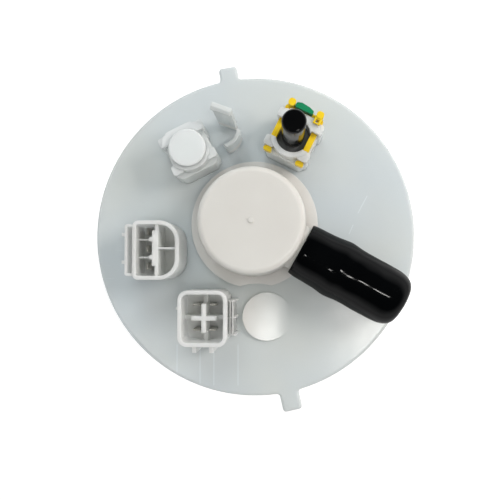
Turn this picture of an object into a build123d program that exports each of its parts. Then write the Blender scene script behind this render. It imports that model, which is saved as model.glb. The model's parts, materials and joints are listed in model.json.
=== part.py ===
from build123d import *
import os
from math import atan2, cos, degrees, hypot, radians, sin

# In-tank fuel pump module. The seal face of the tank flange is the plane z = 0, +Z points out of
# the tank, and everything below z = 0 hangs inside the tank. Lengths are in millimetres.

# ---------------------------------------------------------------- fits and clearances
PRESS_GAP = 0.02          # pin or rod held in plastic, radial
RUN_GAP = 0.06            # running fit, radial
SNAP_GAP = 0.15           # moulded pieces that clip together
FREE_GAP = 0.3            # pieces that must never touch
SLOT_GAP = 0.05           # contact blade in its moulded slot

# ---------------------------------------------------------------- tank flange
FLANGE_R = 70.0
FLANGE_T = 3.5
FLANGE_EDGE = 1.3
SKIRT_R = 59.0
SKIRT_WALL = 2.5
SKIRT_H = 14.0
KEY_TABS = ((98.6, 5.9, 8.1), (282.9, 8.1, 8.4))      # angle, reach past the rim, width
KEY_FILLET = 1.4
GUSSET_COUNT = 16
GUSSET_T = 1.5
GUSSET_DEPTH = 5.0
GUSSET_H = 8.0
BUMP_X = 6.2
BUMP_Y = -35.4
BUMP_R = 10.6
BUMP_H = 2.5

# pipe clip moulded on the flange between the two ports
TALL_JAW = (-10.7, 48.5, -20.2)                        # x, y, turn about Z
TALL_JAW_WIDTH = 8.3
TALL_JAW_T = 1.6
TALL_JAW_H = 30.0
SHORT_JAW = (-6.3, 38.6, 49.6)
SHORT_JAW_WIDTH = 8.8
SHORT_JAW_T = 1.5
SHORT_JAW_H = 15.0
SHORT_JAW_CURVE = 8.0
JAW_LIP = 1.1

# ---------------------------------------------------------------- vent valve in the middle
VENT_X = 0.75
VENT_Y = 4.55
PAD_R = 27.5
PAD_H = 3.0
PAD_SCALLOP_R = 25.0
PAD_SCALLOP_DEPTH = 1.9
DOME_R = 21.5
DOME_BASE_R = 22.4         # moulding draft widens the foot
DOME_H = 24.0
DOME_WALL = 2.2
DOME_EDGE = 2.5
DOME_GATE_R = 1.1
DOME_GATE_H = 0.5
NIPPLE_ANGLE = -29.0
NIPPLE_RISE = 14.5        # axis above the flange's top face
NIPPLE_R = 9.5
NIPPLE_BORE_R = 7.6
NIPPLE_REACH = 60.0       # tip, from the dome's axis
BARB_R = 10.2
BARB_AT = 42.0
BARB_LEN = 4.0
ORIFICE_R = 3.0
SEAT_R = 5.4
SEAT_DROP = 2.0
CAGE_R = 19.0
CAGE_H = 26.0
CAGE_WALL = 1.6
CAGE_FLOOR = 2.0
CAGE_WINDOWS = 6
CAGE_WINDOW_W = 7.0
CAGE_WINDOW_H = 13.0
CAGE_REST_H = 1.5
VENT_FLOAT_R = 16.4
VENT_FLOAT_TRAVEL = 4.0
VENT_SEAL_R = 5.6
VENT_SEAL_T = 1.5
VENT_SPRING_R = 3.6
VENT_SPRING_WIRE = 0.35
VENT_SPRING_LEN = 9.5
VENT_SPRING_TURNS = 4.0

# soft cap on the vent nipple; its places are measured from its mouth
VENT_CAP_MOUTH = 22.6      # from the dome's axis
VENT_CAP_LEN = 46.8
VENT_CAP_MOUTH_R = 11.05
VENT_CAP_NECK_R = 11.6
VENT_CAP_NECK_AT = 6.0
VENT_CAP_BULGE_R = 12.45
VENT_CAP_BULGE_AT = 17.0
VENT_CAP_WAIST_AT = 25.0
VENT_CAP_END_R = 11.85
VENT_CAP_WALL = 1.3
VENT_CAP_MOUTH_WALL = 0.7
VENT_CAP_NOSE_R = 5.2

# ---------------------------------------------------------------- two quick-connect ports
OUTLET_X = 17.5
OUTLET_Y = 39.7
OUTLET_TURN = 63.2        # way that the retainer comes out
BLANK_X = -25.8
BLANK_Y = 34.9
BLANK_TURN = 116.0
PORT_BODY_R = 9.1
PORT_BORE_R = 7.0
PORT_H = 19.0
PORT_FLOOR = 3.0
PORT_BASE_IN = 9.6         # square base, inward, outward and to each side of the port's axis
PORT_BASE_OUT = 9.8
PORT_BASE_HALF = 9.1
PORT_BASE_CORNER = 2.6
PORT_LOBE_CORNER = 5.0
PORT_INNER_EAR_U = 5.8     # ear centres, along and across the radial line
PORT_OUTER_EAR_U = 6.8
PORT_EAR_V = 7.6
PORT_EAR_LEN = 4.2
PORT_EAR_WIDTH = 4.8
PORT_EAR_DROP = 1.0
PORT_EAR_FILLET = 1.0
CLIP_LEG_V = 7.3          # middle of each yellow leg
CLIP_LEG_W = 2.4
CLIP_LEG_T = 3.4
CLIP_LEG_RISE = 13.2      # bottom of the legs above the flange
CLIP_TIP_U = -9.9
CLIP_TOE_LEN = 1.8         # wide toe that keeps each leg in its ear
CLIP_TOE_W = 3.6
CLIP_HEAD_U = 10.2
CLIP_HEAD_T = 1.6
CLIP_KNUCKLE_LEN = 3.0
CLIP_KNUCKLE_W = 3.0
CLIP_KNUCKLE_H = 7.4
CLIP_HEAD_HALF = 6.3
CLIP_ROUND = 0.45          # share of its width that a leg or toe is rounded by
CLIP_KNUCKLE_ROUND = 0.4
CLIP_TAB_REACH = 2.4       # tab over the socket's rim, from the head inward
CLIP_TAB_T = 1.2
CLIP_TAB_SLOT = 1.4
LATCH_OUTLINE = (          # outward from the head, and across it
    (0.3, 4.6), (2.3, 4.4), (2.9, 2.4), (2.5, -1.2), (1.7, -3.4), (0.3, -3.4))
LATCH_RISE = 16.6          # underside above the flange's top face
LATCH_T = 3.8
LATCH_CORNER = 0.6
LATCH_HOOK_W = 5.0
LATCH_HOOK_DROP = 3.0
SPIGOT_R = 3.95
SPIGOT_BORE_R = 2.6
SPIGOT_TOP = 38.5         # above the flange's top face
SPIGOT_COLLAR_H = 5.0
SPIGOT_COLLAR_RISE = 7.6
SPIGOT_TAIL_R = 4.3
SPIGOT_TAIL_BORE_R = 3.0
SPIGOT_TAIL_DROP = 24.0   # end of the hose tail below the flange
OUTLET_CAP_R = 4.68
OUTLET_CAP_BORE_R = 4.06
OUTLET_CAP_TOP = 41.7
OUTLET_CAP_RISE = 17.5    # its open end above the flange's top face
OUTLET_CAP_EDGE = 1.2
BLANK_PLUG_R = 7.7
BLANK_PLUG_T = 2.0
BLANK_PLUG_DEPTH = 11.0

# ---------------------------------------------------------------- electrical connectors
SHROUD_H = 20.0
WEB_ROOT = 0.3             # how far each web runs into the wall that carries it
SHROUD_FLOOR = 5.0
SHROUD_WALL = 1.6
FRONT_X = -19.5
FRONT_Y = -34.85
FRONT_W = 20.2
FRONT_D = 22.8
FRONT_CORNER = 4.0
FRONT_CROSS_T = 1.8
FRONT_CROSS_DROP = 2.0
FRONT_CROSS_X = 10.0
FRONT_CROSS_Y = 11.8
FRONT_ARM_H = 6.0
FRONT_CROSS_SHIFT = 0.35
FRONT_PIN_DX = 3.4
FRONT_PIN_DY = 5.2
FRONT_GUARD_LEN = 14.6     # two thin rails beside the cup
FRONT_GUARD_T = 0.6
FRONT_GUARD_PITCH = 1.1
FRONT_GUARD_H = 15.0
FRONT_NUB = 1.0
FRONT_STUB_OUT = 2.6
FRONT_STUB_W = 1.6
FRONT_STUB_DX = 3.5
FRONT_STUB_H = 18.0
SIDE_LEFT = -48.4
SIDE_RIGHT = -29.1
SIDE_BOTTOM = -19.1
SIDE_TOP = 5.2
SIDE_ROUND = 8.4
SIDE_CORNER = 2.5
SIDE_DIVIDER_X = -38.5
SIDE_DIVIDER_T = 2.6
SIDE_DIVIDER_DROP = 1.0
SIDE_WEB_T = 0.8
SIDE_POCKET_REACH = 3.1
SIDE_POCKET_LEN = 21.2
SIDE_POCKET_WALL = 1.1
SIDE_POCKET_CORNER = 1.2
SIDE_STUB_OUT = 1.6
SIDE_STUB_W = 1.4
SIDE_STUB_PITCH = 11.4
SIDE_STUB_DROP = 1.5
SIDE_RAIL_T = 1.4          # thin ends of the divider
SIDE_DIVIDER_LEN = 14.6    # thick middle of the divider
SIDE_CELL_SHIFT = 0.8      # contacts and cells above the cup's middle
SIDE_KNOB_R = 1.0
SIDE_CELL_WEB_T = 0.7
SIDE_CELL_WEB_DROP = 4.0
SIDE_PIN_X = -43.75
SIDE_PIN_PITCH = 7.4
PIN_W = 2.8
PIN_T = 0.8
PIN_RISE = 13.0           # tip above the flange's top face
PIN_TAIL = 9.0            # tail below the flange
PIN_POINT = 0.8
PIN_POINT_SHARE = 0.4      # of the point's length, taken off each edge
PLUG_H = 13.0
PLUG_MARGIN = 2.0
PLUG_CORNER = 1.0
PLUG_DEEPER = 0.5          # room below the tail of each contact

# ---------------------------------------------------------------- guide rods and their springs
ROD_R = 2.5
ROD_INSET = 8.0            # rod centres, inward from the reservoir's wall
ROD_ANGLE = 150.0
ROD_BOSS_R = 6.0
ROD_BOSS_H = 18.0
ROD_SPRING_R = 5.2
ROD_SPRING_WIRE = 0.65
ROD_SPRING_TURNS = 8.0
SPRING_COLLAR_H = 2.0
CLIP_RING_T = 1.0
CLIP_RING_R = 4.6
CLIP_GROOVE = 0.5
ROD_TIP = 5.0

# ---------------------------------------------------------------- reservoir
LID_DROP = 84.0           # top of the lid below the seal face, rods extended
LID_T = 2.5
LID_LIP_H = 6.0
LID_LIP_T = 1.4
RES_R = 50.0
RES_FLAT = 34.0           # flat front wall that carries the level sender
RES_CORNER = 6.0
RES_WALL = 2.0
RES_FLOOR = 2.5
RES_H = 94.5
FOOT_H = 3.0
FOOT_R = 4.0
FOOT_CENTRE_R = 38.0
FOOT_ANGLES = (60, 180, 310)
GUIDE_R = 5.0
GUIDE_LEN = 25.0
RIB_COUNT = 14
RIB_FROM = -25.0
RIB_TO = 205.0
RIB_T = 1.4
RIB_OUT = 1.2
SNAP_ANGLES = (35, 85, 140, 203, 345)
SNAP_W = 9.0
SNAP_OUT = 1.1
SNAP_H = 2.5
LID_VENT_X = 24.0          # square fill and breather windows, one on each side
LID_VENT_Y = -24.0
LID_VENT_SIDE = 6.4

# ---------------------------------------------------------------- filter round the pump
CORE_X = 0.0
CORE_Y = 6.0
FILTER_R = 32.0
FILTER_IN_R = 21.2
FILTER_WALL = 1.5
COVER_H = 9.5
COVER_LIP = 1.2
COVER_LIP_H = 4.0
PLEATS = 32
PLEAT_GAP = 0.8
HOSE_SEAT_ANGLE = 115.0
FEED_ANGLE = 0.0
REG_ANGLE = 200.0
HOSE_SEAT_R = 26.6
COVER_NIPPLE_R = 4.3
COVER_NIPPLE_BORE_R = 3.0
HOSE_NIPPLE_H = 18.0      # above the lid
FEED_NIPPLE_H = 8.0

# ---------------------------------------------------------------- pressure regulator
REG_BOSS_R = 8.8
REG_SEAT_R = 29.0
REG_BOSS_H = 7.0          # above the lid
REG_R = 7.0
REG_FLANGE_R = 8.2
REG_FLANGE_T = 1.6
REG_DOME_H = 7.0
REG_TAIL = 8.5
REG_ORING_R = 0.9
REG_CLIP_T = 0.9

# ---------------------------------------------------------------- electric pump
PUMP_R = 19.0
PUMP_WALL = 1.2
PUMP_LEN = 82.0
INLET_COVER_H = 8.0
INLET_STUB_R = 5.5
INLET_STUB_H = 5.0
INLET_BORE_R = 3.0
IMPELLER_H = 4.0
IMPELLER_R = 15.5
IMPELLER_BLADES = 24
CHAMBER_H = 5.0
END_CAP_PLUG = 8.0
END_CAP_R = 16.5
END_CAP_H = 6.0
OUTLET_OFFSET = 8.0
BARREL_R = 4.2
BARREL_BORE_R = 2.7
BARREL_NOSE_BORE_R = 2.0   # above the poppet, which it stops
BARREL_H = 12.0
SHAFT_R = 1.6
ARMATURE_R = 11.6
ARMATURE_H = 34.0
ARMATURE_SLOTS = 8
MAGNET_R_IN = 13.0
MAGNET_SPAN = 140.0
MAGNET_H = 42.0
COMMUTATOR_R = 7.5
COMMUTATOR_H = 9.0
BRUSH_W = 4.0
BRUSH_H = 6.0
BRUSH_LEN = 4.5
CHECK_HEAD_R = 2.5
CHECK_SEAT_R = 1.7
CHECK_LIFT = 2.0
CHECK_BEVEL = 0.9
CHECK_LEN = 7.0
CHECK_SEAT_RISE = 6.0      # seat above the end cap's inner face
PUMP_PLUG_H = 8.0
ISOLATOR_H = 16.0
ISOLATOR_LIP = 2.0
ISOLATOR_GRIP = 4.0
STRAINER_NECK_R = 8.0
STRAINER_NECK_H = 5.0
STRAINER_R = 21.0

# ---------------------------------------------------------------- pieces on the reservoir floor
FLAP_X = -26.0
FLAP_Y = -18.0
FLAP_R = 6.0
FLAP_T = 1.4
FLAP_STEM_R = 1.4
FLAP_BULB_R = 2.0
FLAP_LIFT = 1.0
FLAP_HOLE_R = 1.2
FLAP_HOLES = 4
JET_R = 3.6
JET_LEN = 36.0
JET_BORE_R = 2.2
JET_CLEAR = 1.0            # between the mixing tube's ends and the wall
JET_FEED_ANGLE = 139.0
JET_FEED_R = 2.6
JET_FEED_GAP = 0.6         # feed pipe to the wall
JET_FEED_RISE = 4.0        # above the lid
JET_FOOT_W = 4.8
JET_FOOT_LEN = 5.0
JET_MOUTH = 4.0            # intake behind the nozzle end
JET_LIFT = 1.2

# ---------------------------------------------------------------- fuel level sender
SENDER_MARGIN = 3.9        # wall left beside the sender's rails
RAIL_T = 1.6
RAIL_OUT = 2.4
SENDER_W = 26.0
SENDER_DROP = 11.0        # top edge below the lid's top
SENDER_H = 33.0
SENDER_T = 5.0
SENDER_PIVOT_DROP = 9.0   # pivot below the sender's top edge
CARD_T = 0.8
CARD_W = 20.0
CARD_H = 12.0
CARD_DROP = 18.0
WIPER_T = 1.2
HUB_R = 5.5
HUB_T = 7.4
PIVOT_R = 2.2
ARM_R = 1.25
ARM_LEN = 71.0
ARM_DROP_ANGLE = 59.0     # arm below the horizontal with the tank empty
FLOAT_LEN = 30.0
FLOAT_W = 13.0
FLOAT_T = 10.0
FLOAT_EDGE = 2.5
FLOAT_GROOVE_PAST = 1.7    # groove for the wire: past its end, inward, outward and beside it
FLOAT_GROOVE_IN = 3.0
FLOAT_GROOVE_OUT = 3.4
FLOAT_GRIP = 0.2

# ---------------------------------------------------------------- hose and wires
HOSE_R = 6.0
HOSE_BORE_R = 4.4
HOSE_BEND = 13.0
HOSE_OVERLAP = 14.0       # length pushed over each tail
HOSE_BEND_DROP = 38.0
HOSE_BEND_RISE = 34.0
WIRE_R = 1.0
WIRE_BEND = 9.0
WIRE_DROP = 36.0
PUMP_WIRE_RISE = 34.0
SENDER_WIRE_RISE = 33.0
CROSSOVER_R = 3.9
CROSSOVER_BORE_R = 2.9
CROSSOVER_H = 24.0        # its upper run above the lid
CROSSOVER_BEND = 6.0

# ---------------------------------------------------------------- worked out from the sizes above
TOP = FLANGE_T
PAD_TOP = TOP + PAD_H
DOME_TOP = PAD_TOP + DOME_H
NIPPLE_Z = TOP + NIPPLE_RISE
LID_TOP = -LID_DROP
LID_BOTTOM = LID_TOP - LID_T
RES_RIM = LID_BOTTOM
ROD_CENTRE_R = RES_R - ROD_INSET
RES_BOTTOM = RES_RIM - RES_H
FLOOR_TOP = RES_BOTTOM + RES_FLOOR
COVER_TOP = LID_BOTTOM
PUMP_TOP = LID_TOP
PUMP_BOTTOM = PUMP_TOP - PUMP_LEN
FILTER_BOTTOM = PUMP_BOTTOM
REG_BOSS_TOP = LID_TOP + REG_BOSS_H
SENDER_TOP = LID_TOP - SENDER_DROP
COVER_BOTTOM = COVER_TOP - COVER_H
CAGE_FLOOR_TOP = -CAGE_H + CAGE_FLOOR
FLOAT_REST = CAGE_FLOOR_TOP + CAGE_REST_H
VENT_SEAL_TOP = -SEAT_DROP - VENT_FLOAT_TRAVEL
VENT_FLOAT_TOP = VENT_SEAL_TOP - VENT_SEAL_T
IMPELLER_BOTTOM = PUMP_BOTTOM + INLET_COVER_H + FREE_GAP
IMPELLER_TOP = IMPELLER_BOTTOM + IMPELLER_H
CHAMBER_BOTTOM = IMPELLER_TOP + FREE_GAP
CHAMBER_TOP = CHAMBER_BOTTOM + CHAMBER_H
END_PLUG_BOTTOM = PUMP_TOP - END_CAP_PLUG
END_CAP_TOP = PUMP_TOP + END_CAP_H
CHECK_SEAT = END_PLUG_BOTTOM + CHECK_SEAT_RISE
BARREL_TOP = END_CAP_TOP + BARREL_H
COMMUTATOR_TOP = END_PLUG_BOTTOM - FREE_GAP
COMMUTATOR_BOTTOM = COMMUTATOR_TOP - COMMUTATOR_H
ARMATURE_TOP = COMMUTATOR_BOTTOM
ARMATURE_BOTTOM = ARMATURE_TOP - ARMATURE_H
CAN_BORE = PUMP_R - PUMP_WALL
FLAT_FACE = -RES_FLAT
SENDER_FACE = FLAT_FACE - SENDER_T
CARD_FACE = SENDER_FACE - CARD_T
WIPER_BACK = CARD_FACE - FREE_GAP
HUB_BACK = WIPER_BACK - WIPER_T
HUB_FRONT = HUB_BACK - HUB_T
PIVOT_Z = SENDER_TOP - SENDER_PIVOT_DROP
FLAT_HALF = (RES_R ** 2 - RES_FLAT ** 2) ** 0.5
SENDER_X = SENDER_MARGIN + RAIL_T + SNAP_GAP + SENDER_W / 2 - FLAT_HALF
ARM_Y = HUB_FRONT + ARM_R + 0.6
UP = (Align.CENTER, Align.CENTER, Align.MIN)
JET_Y = ((RES_R - RES_WALL) ** 2 - (JET_LEN / 2) ** 2) ** 0.5 - JET_R - JET_CLEAR
STEPS_PER_TURN = 10


# ---------------------------------------------------------------- small helpers
def rod(radius, low, high, x=0.0, y=0.0):
    """Round bar that stands between two heights."""
    return Pos(x, y, low) * Cylinder(radius, high - low, align=UP)


def tube(outer, inner, low, high, x=0.0, y=0.0):
    """Round tube that stands between two heights."""
    return rod(outer, low, high, x, y) - rod(inner, low - 1, high + 1, x, y)


def block(x0, x1, y0, y1, z0, z1):
    """Box between two corners."""
    return Pos(x0, y0, z0) * Box(x1 - x0, y1 - y0, z1 - z0, align=(Align.MIN,) * 3)


def prism(outline, low, high):
    """Flat outline raised between two heights."""
    return extrude(Pos(0, 0, low) * outline, high - low)


def turned(*profile):
    """Solid turned about Z from (radius, height) points."""
    return revolve(Plane.XZ * make_face(Polyline(*profile, close=True)), Axis.Z)


def rounded_box(x0, x1, y0, y1, z0, z1, corner):
    """Upright box with rounded vertical corners."""
    outline = Pos((x0 + x1) / 2, (y0 + y1) / 2) * RectangleRounded(x1 - x0, y1 - y0, corner)
    return prism(outline, z0, z1)


def polar(radius, angle, x=0.0, y=0.0):
    """Point at a radius and angle round (x, y)."""
    return x + radius * cos(radians(angle)), y + radius * sin(radians(angle))


def pipe(points, bends, radius, bore=0.0):
    """Round pipe along straight runs joined by arcs."""
    path = FilletPolyline(*points, radius=bends)
    start = Plane(origin=path @ 0, z_dir=path % 0)
    skin = sweep(start * Circle(radius), path)
    if bore:
        skin -= sweep(start * Circle(bore), path)
    return skin


def coil(mean_radius, wire, low, high, turns):
    """Compression spring between two heights, bent from short straight lengths of six-sided wire."""
    count = round(turns * STEPS_PER_TURN)
    rise = (high - low - 2 * wire) / count
    points = []
    for i in range(count + 1):
        x, y = polar(mean_radius, i * 360 / STEPS_PER_TURN)
        points.append((x, y, low + wire + i * rise))
    path = Polyline(*points)
    start = Plane(origin=path @ 0, z_dir=path % 0)
    return sweep(start * RegularPolygon(wire, 6), path, transition=Transition.RIGHT)


def d_outline(radius, flat, corner):
    """Round outline cut by the flat front wall, with soft corners."""
    face = Circle(radius) & Pos(0, -flat) * Rectangle(3 * radius, 3 * radius, align=(Align.CENTER, Align.MIN))
    ends = [v for v in face.vertices() if abs(v.Y + flat) < 0.01]
    return fillet(ends, corner)


# ---------------------------------------------------------------- places that several pieces share
OUTLET_PLACE = Pos(OUTLET_X, OUTLET_Y, TOP) * Rot(0, 0, OUTLET_TURN)
BLANK_PLACE = Pos(BLANK_X, BLANK_Y, TOP) * Rot(0, 0, BLANK_TURN)
NIPPLE_PLACE = Pos(VENT_X, VENT_Y, NIPPLE_Z) * Rot(0, 0, NIPPLE_ANGLE) * Rot(0, 90, 0)
RODS = [polar(ROD_CENTRE_R, ROD_ANGLE), polar(ROD_CENTRE_R, ROD_ANGLE + 180)]
HOSE_SEAT = polar(HOSE_SEAT_R, HOSE_SEAT_ANGLE, CORE_X, CORE_Y)
FEED_SEAT = polar(HOSE_SEAT_R, FEED_ANGLE, CORE_X, CORE_Y)
REG_SEAT = polar(REG_SEAT_R, REG_ANGLE, CORE_X, CORE_Y)
JET_FEED = polar(RES_R - RES_WALL - JET_FEED_GAP - JET_FEED_R, JET_FEED_ANGLE)
JET_NOZZLE = (CORE_X - JET_LEN / 2, JET_Y)
BARREL = (CORE_X + OUTLET_OFFSET, CORE_Y)
PUMP_PLUG = (CORE_X - OUTLET_OFFSET, CORE_Y)
FRONT_PINS = [(FRONT_X + i * FRONT_PIN_DX, FRONT_Y + j * FRONT_PIN_DY, PIN_W, PIN_T)
              for i in (-1, 1) for j in (-1, 1)]
SIDE_MID = (SIDE_TOP + SIDE_BOTTOM) / 2
SIDE_CELL_MID = SIDE_MID + SIDE_CELL_SHIFT
SIDE_PINS = [(SIDE_PIN_X, SIDE_CELL_MID + i * SIDE_PIN_PITCH, PIN_T, PIN_W) for i in (-1, 0, 1)]
ARM_DIR = (cos(radians(ARM_DROP_ANGLE)), -sin(radians(ARM_DROP_ANGLE)))


def blade(pin, low, high, gap=0.0):
    """Flat contact blade, or the slot that it passes through; a pin is (x, y, width along x, width along y)."""
    x, y, wide, deep = pin
    return block(x - wide / 2 - gap, x + wide / 2 + gap, y - deep / 2 - gap, y + deep / 2 + gap, low, high)


# ---------------------------------------------------------------- flange
def key_outline():
    """Round flange outline with its two locating tabs."""
    outline = Circle(FLANGE_R)
    for angle, reach, width in KEY_TABS:
        outline += Rot(0, 0, angle) * Pos(FLANGE_R - 6, 0) * Rectangle(
            6 + reach, width, align=(Align.MIN, Align.CENTER))
    corners = [v for v in outline.vertices() if abs(v.Y) > 1]
    return fillet(corners, KEY_FILLET)


def base_pad():
    """Low round pad under the vent dome, with a scallop on its front side."""
    pad = rod(PAD_R, TOP, PAD_TOP, VENT_X, VENT_Y)
    scallop_y = VENT_Y - PAD_R + PAD_SCALLOP_DEPTH - PAD_SCALLOP_R
    return pad - rod(PAD_SCALLOP_R, TOP, PAD_TOP + 1, VENT_X + 1.2, scallop_y)


def tilted_bump():
    """Raised on the left, with a hollow slope that runs out flush on the right."""
    slope_r = (4 * BUMP_R ** 2 + BUMP_H ** 2) / (2 * BUMP_H)
    middle_z = slope_r - (slope_r ** 2 - BUMP_R ** 2) ** 0.5
    slope = ThreePointArc((BUMP_R, 0), (0, middle_z), (-BUMP_R, BUMP_H))
    wedge = Plane.XZ * make_face([slope, Polyline((-BUMP_R, BUMP_H), (-BUMP_R, -1), (BUMP_R, -1), (BUMP_R, 0))])
    wedge = extrude(wedge, BUMP_R + 1, both=True)
    return Pos(BUMP_X, BUMP_Y, TOP) * (wedge & rod(BUMP_R, -1, 2 * BUMP_H))


def pipe_clip():
    """Tall straight jaw and short curved jaw that hold a vent line."""
    x, y, turn = TALL_JAW
    half = TALL_JAW_WIDTH / 2
    tall = block(-half, half, -TALL_JAW_T / 2, TALL_JAW_T / 2, 0, TALL_JAW_H)
    lip = Plane.YZ * make_face(Polyline(
        (-TALL_JAW_T / 2, TALL_JAW_H - 4 * JAW_LIP), (-TALL_JAW_T / 2, TALL_JAW_H),
        (-TALL_JAW_T / 2 - JAW_LIP, TALL_JAW_H - JAW_LIP),
        (-TALL_JAW_T / 2 - JAW_LIP, TALL_JAW_H - 2 * JAW_LIP), close=True))
    tall += extrude(lip, half, both=True)
    rib = Plane.YZ * make_face(Polyline(
        (TALL_JAW_T / 2, 0), (TALL_JAW_T / 2 + 2.2, 0), (TALL_JAW_T / 2, TALL_JAW_H * 0.6), close=True))
    for side in (-0.55, 0.55):
        tall += Pos(side * half, 0, 0) * extrude(rib, 0.6, both=True)
    tall = Pos(x, y, TOP) * Rot(0, 0, turn) * tall
    x, y, turn = SHORT_JAW
    arc = tube(SHORT_JAW_CURVE, SHORT_JAW_CURVE - SHORT_JAW_T, 0, SHORT_JAW_H, 0, SHORT_JAW_CURVE)
    arc &= block(-SHORT_JAW_WIDTH / 2, SHORT_JAW_WIDTH / 2, -1, SHORT_JAW_CURVE, 0, SHORT_JAW_H)
    return tall + Pos(x, y, TOP) * Rot(0, 0, turn) * arc


def flange():
    body = prism(key_outline(), 0, TOP)
    body = fillet(body.faces().sort_by(Axis.Z)[-1].edges(), FLANGE_EDGE)
    body += tube(SKIRT_R, SKIRT_R - SKIRT_WALL, -SKIRT_H, 0.5)
    inner = SKIRT_R - SKIRT_WALL
    gusset = Plane.XZ * make_face(Polyline(
        (inner - GUSSET_DEPTH, 0.2), (inner + 0.3, 0.2), (inner + 0.3, -GUSSET_H),
        (inner - 0.8, -GUSSET_H), close=True))
    gusset = extrude(gusset, GUSSET_T / 2, both=True)
    for i in range(GUSSET_COUNT):
        body += Rot(0, 0, (i + 0.5) * 360 / GUSSET_COUNT) * gusset
    body += base_pad()
    body += tilted_bump()
    body += pipe_clip()
    body += rod(SEAT_R, -SEAT_DROP, 0, VENT_X, VENT_Y)
    body -= rod(ORIFICE_R, -SEAT_DROP - 1, PAD_TOP + 1, VENT_X, VENT_Y)
    for x, y in RODS:
        body += rod(ROD_BOSS_R, -ROD_BOSS_H, 0, x, y)
        body -= rod(ROD_R + PRESS_GAP, -ROD_BOSS_H - 1, -1, x, y)
    for pin in FRONT_PINS + SIDE_PINS:
        body -= blade(pin, -1, TOP + 1, SLOT_GAP)
    body -= rod(SPIGOT_TAIL_R + SNAP_GAP, -1, TOP + 1, OUTLET_X, OUTLET_Y)
    return body


# ---------------------------------------------------------------- vent valve
def vent_housing():
    """Dome with the radial vapour nipple, open to the orifice below."""
    dome = Pos(VENT_X, VENT_Y, 0) * turned(
        (0, PAD_TOP), (DOME_BASE_R, PAD_TOP), (DOME_R, DOME_TOP), (0, DOME_TOP))
    dome = fillet(dome.edges().sort_by(Axis.Z)[-1], DOME_EDGE)
    nipple = turned(
        (0, DOME_R - 4), (NIPPLE_R, DOME_R - 4), (NIPPLE_R, BARB_AT), (BARB_R, BARB_AT + 0.5),
        (BARB_R, BARB_AT + 1.5), (NIPPLE_R, BARB_AT + BARB_LEN), (NIPPLE_R, NIPPLE_REACH - 1),
        (NIPPLE_R - 1, NIPPLE_REACH), (0, NIPPLE_REACH))
    body = dome + NIPPLE_PLACE * nipple
    body -= rod(DOME_R - DOME_WALL, PAD_TOP - 1, DOME_TOP - DOME_WALL, VENT_X, VENT_Y)
    body -= NIPPLE_PLACE * rod(NIPPLE_BORE_R, 0, NIPPLE_REACH + 1)
    return body + rod(DOME_GATE_R, DOME_TOP - 0.2, DOME_TOP + DOME_GATE_H, VENT_X, VENT_Y)


def cap_profile(inset, mouth_inset, nose):
    """Half profile of the vent cap, set in by its wall; heights run along the nipple."""
    mouth = VENT_CAP_MOUTH
    end = mouth + VENT_CAP_LEN - inset
    side = Spline(
        (VENT_CAP_MOUTH_R - mouth_inset, mouth), (VENT_CAP_NECK_R - mouth_inset, mouth + VENT_CAP_NECK_AT),
        (VENT_CAP_BULGE_R - inset, mouth + VENT_CAP_BULGE_AT),
        (VENT_CAP_END_R - inset, mouth + VENT_CAP_WAIST_AT), (VENT_CAP_END_R - inset, end - nose),
        tangents=((0.12, 1), (0, 1)))
    corner = ThreePointArc(
        (VENT_CAP_END_R - inset, end - nose),
        (VENT_CAP_END_R - inset - nose * (1 - cos(radians(45))), end - nose + nose * sin(radians(45))),
        (VENT_CAP_END_R - inset - nose, end))
    close = Polyline((VENT_CAP_END_R - inset - nose, end), (0, end), (0, mouth),
                     (VENT_CAP_MOUTH_R - mouth_inset, mouth))
    return make_face([side, corner, close])


def vent_cap():
    """Soft shipping cap pulled over the vapour nipple."""
    outer = revolve(Plane.XZ * cap_profile(0, 0, VENT_CAP_NOSE_R), Axis.Z)
    inner = revolve(Plane.XZ * cap_profile(
        VENT_CAP_WALL, VENT_CAP_MOUTH_WALL, VENT_CAP_NOSE_R - VENT_CAP_WALL), Axis.Z)
    return NIPPLE_PLACE * (outer - inner)


def vent_cage():
    """Slotted cup under the flange that guides the vent float."""
    body = tube(CAGE_R, CAGE_R - CAGE_WALL, -CAGE_H, 0, VENT_X, VENT_Y)
    body += rod(CAGE_R - 0.5, -CAGE_H, CAGE_FLOOR_TOP, VENT_X, VENT_Y)
    body += tube(VENT_FLOAT_R - 2, VENT_FLOAT_R - 4, CAGE_FLOOR_TOP - 0.2, FLOAT_REST, VENT_X, VENT_Y)
    middle = -CAGE_H + CAGE_FLOOR + 2.5 + CAGE_WINDOW_H / 2
    for i in range(CAGE_WINDOWS):
        window = Pos(CAGE_R, 0, middle) * Box(3 * CAGE_WALL, CAGE_WINDOW_W, CAGE_WINDOW_H)
        body -= Pos(VENT_X, VENT_Y, 0) * Rot(0, 0, 60 * i + 15) * window
        x, y = polar(8.5, 60 * i, VENT_X, VENT_Y)
        body -= rod(1.5, -CAGE_H - 1, CAGE_FLOOR_TOP + 1, x, y)
    return body


def vent_float():
    """Hollow float with a spring pocket underneath."""
    body = rod(VENT_FLOAT_R, FLOAT_REST, VENT_FLOAT_TOP, VENT_X, VENT_Y)
    body = chamfer(body.edges().sort_by(Axis.Z)[-1], 1.5)
    pocket = VENT_SPRING_R + VENT_SPRING_WIRE + FREE_GAP
    return body - rod(pocket, FLOAT_REST - 1, CAGE_FLOOR_TOP + VENT_SPRING_LEN, VENT_X, VENT_Y)


def vent_float_spring():
    top = CAGE_FLOOR_TOP + VENT_SPRING_LEN
    return Pos(VENT_X, VENT_Y, 0) * coil(
        VENT_SPRING_R, VENT_SPRING_WIRE, CAGE_FLOOR_TOP, top, VENT_SPRING_TURNS)


def vent_seal():
    """Rubber disc on top of the float that closes the orifice."""
    return rod(VENT_SEAL_R, VENT_FLOAT_TOP, VENT_SEAL_TOP, VENT_X, VENT_Y)


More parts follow.
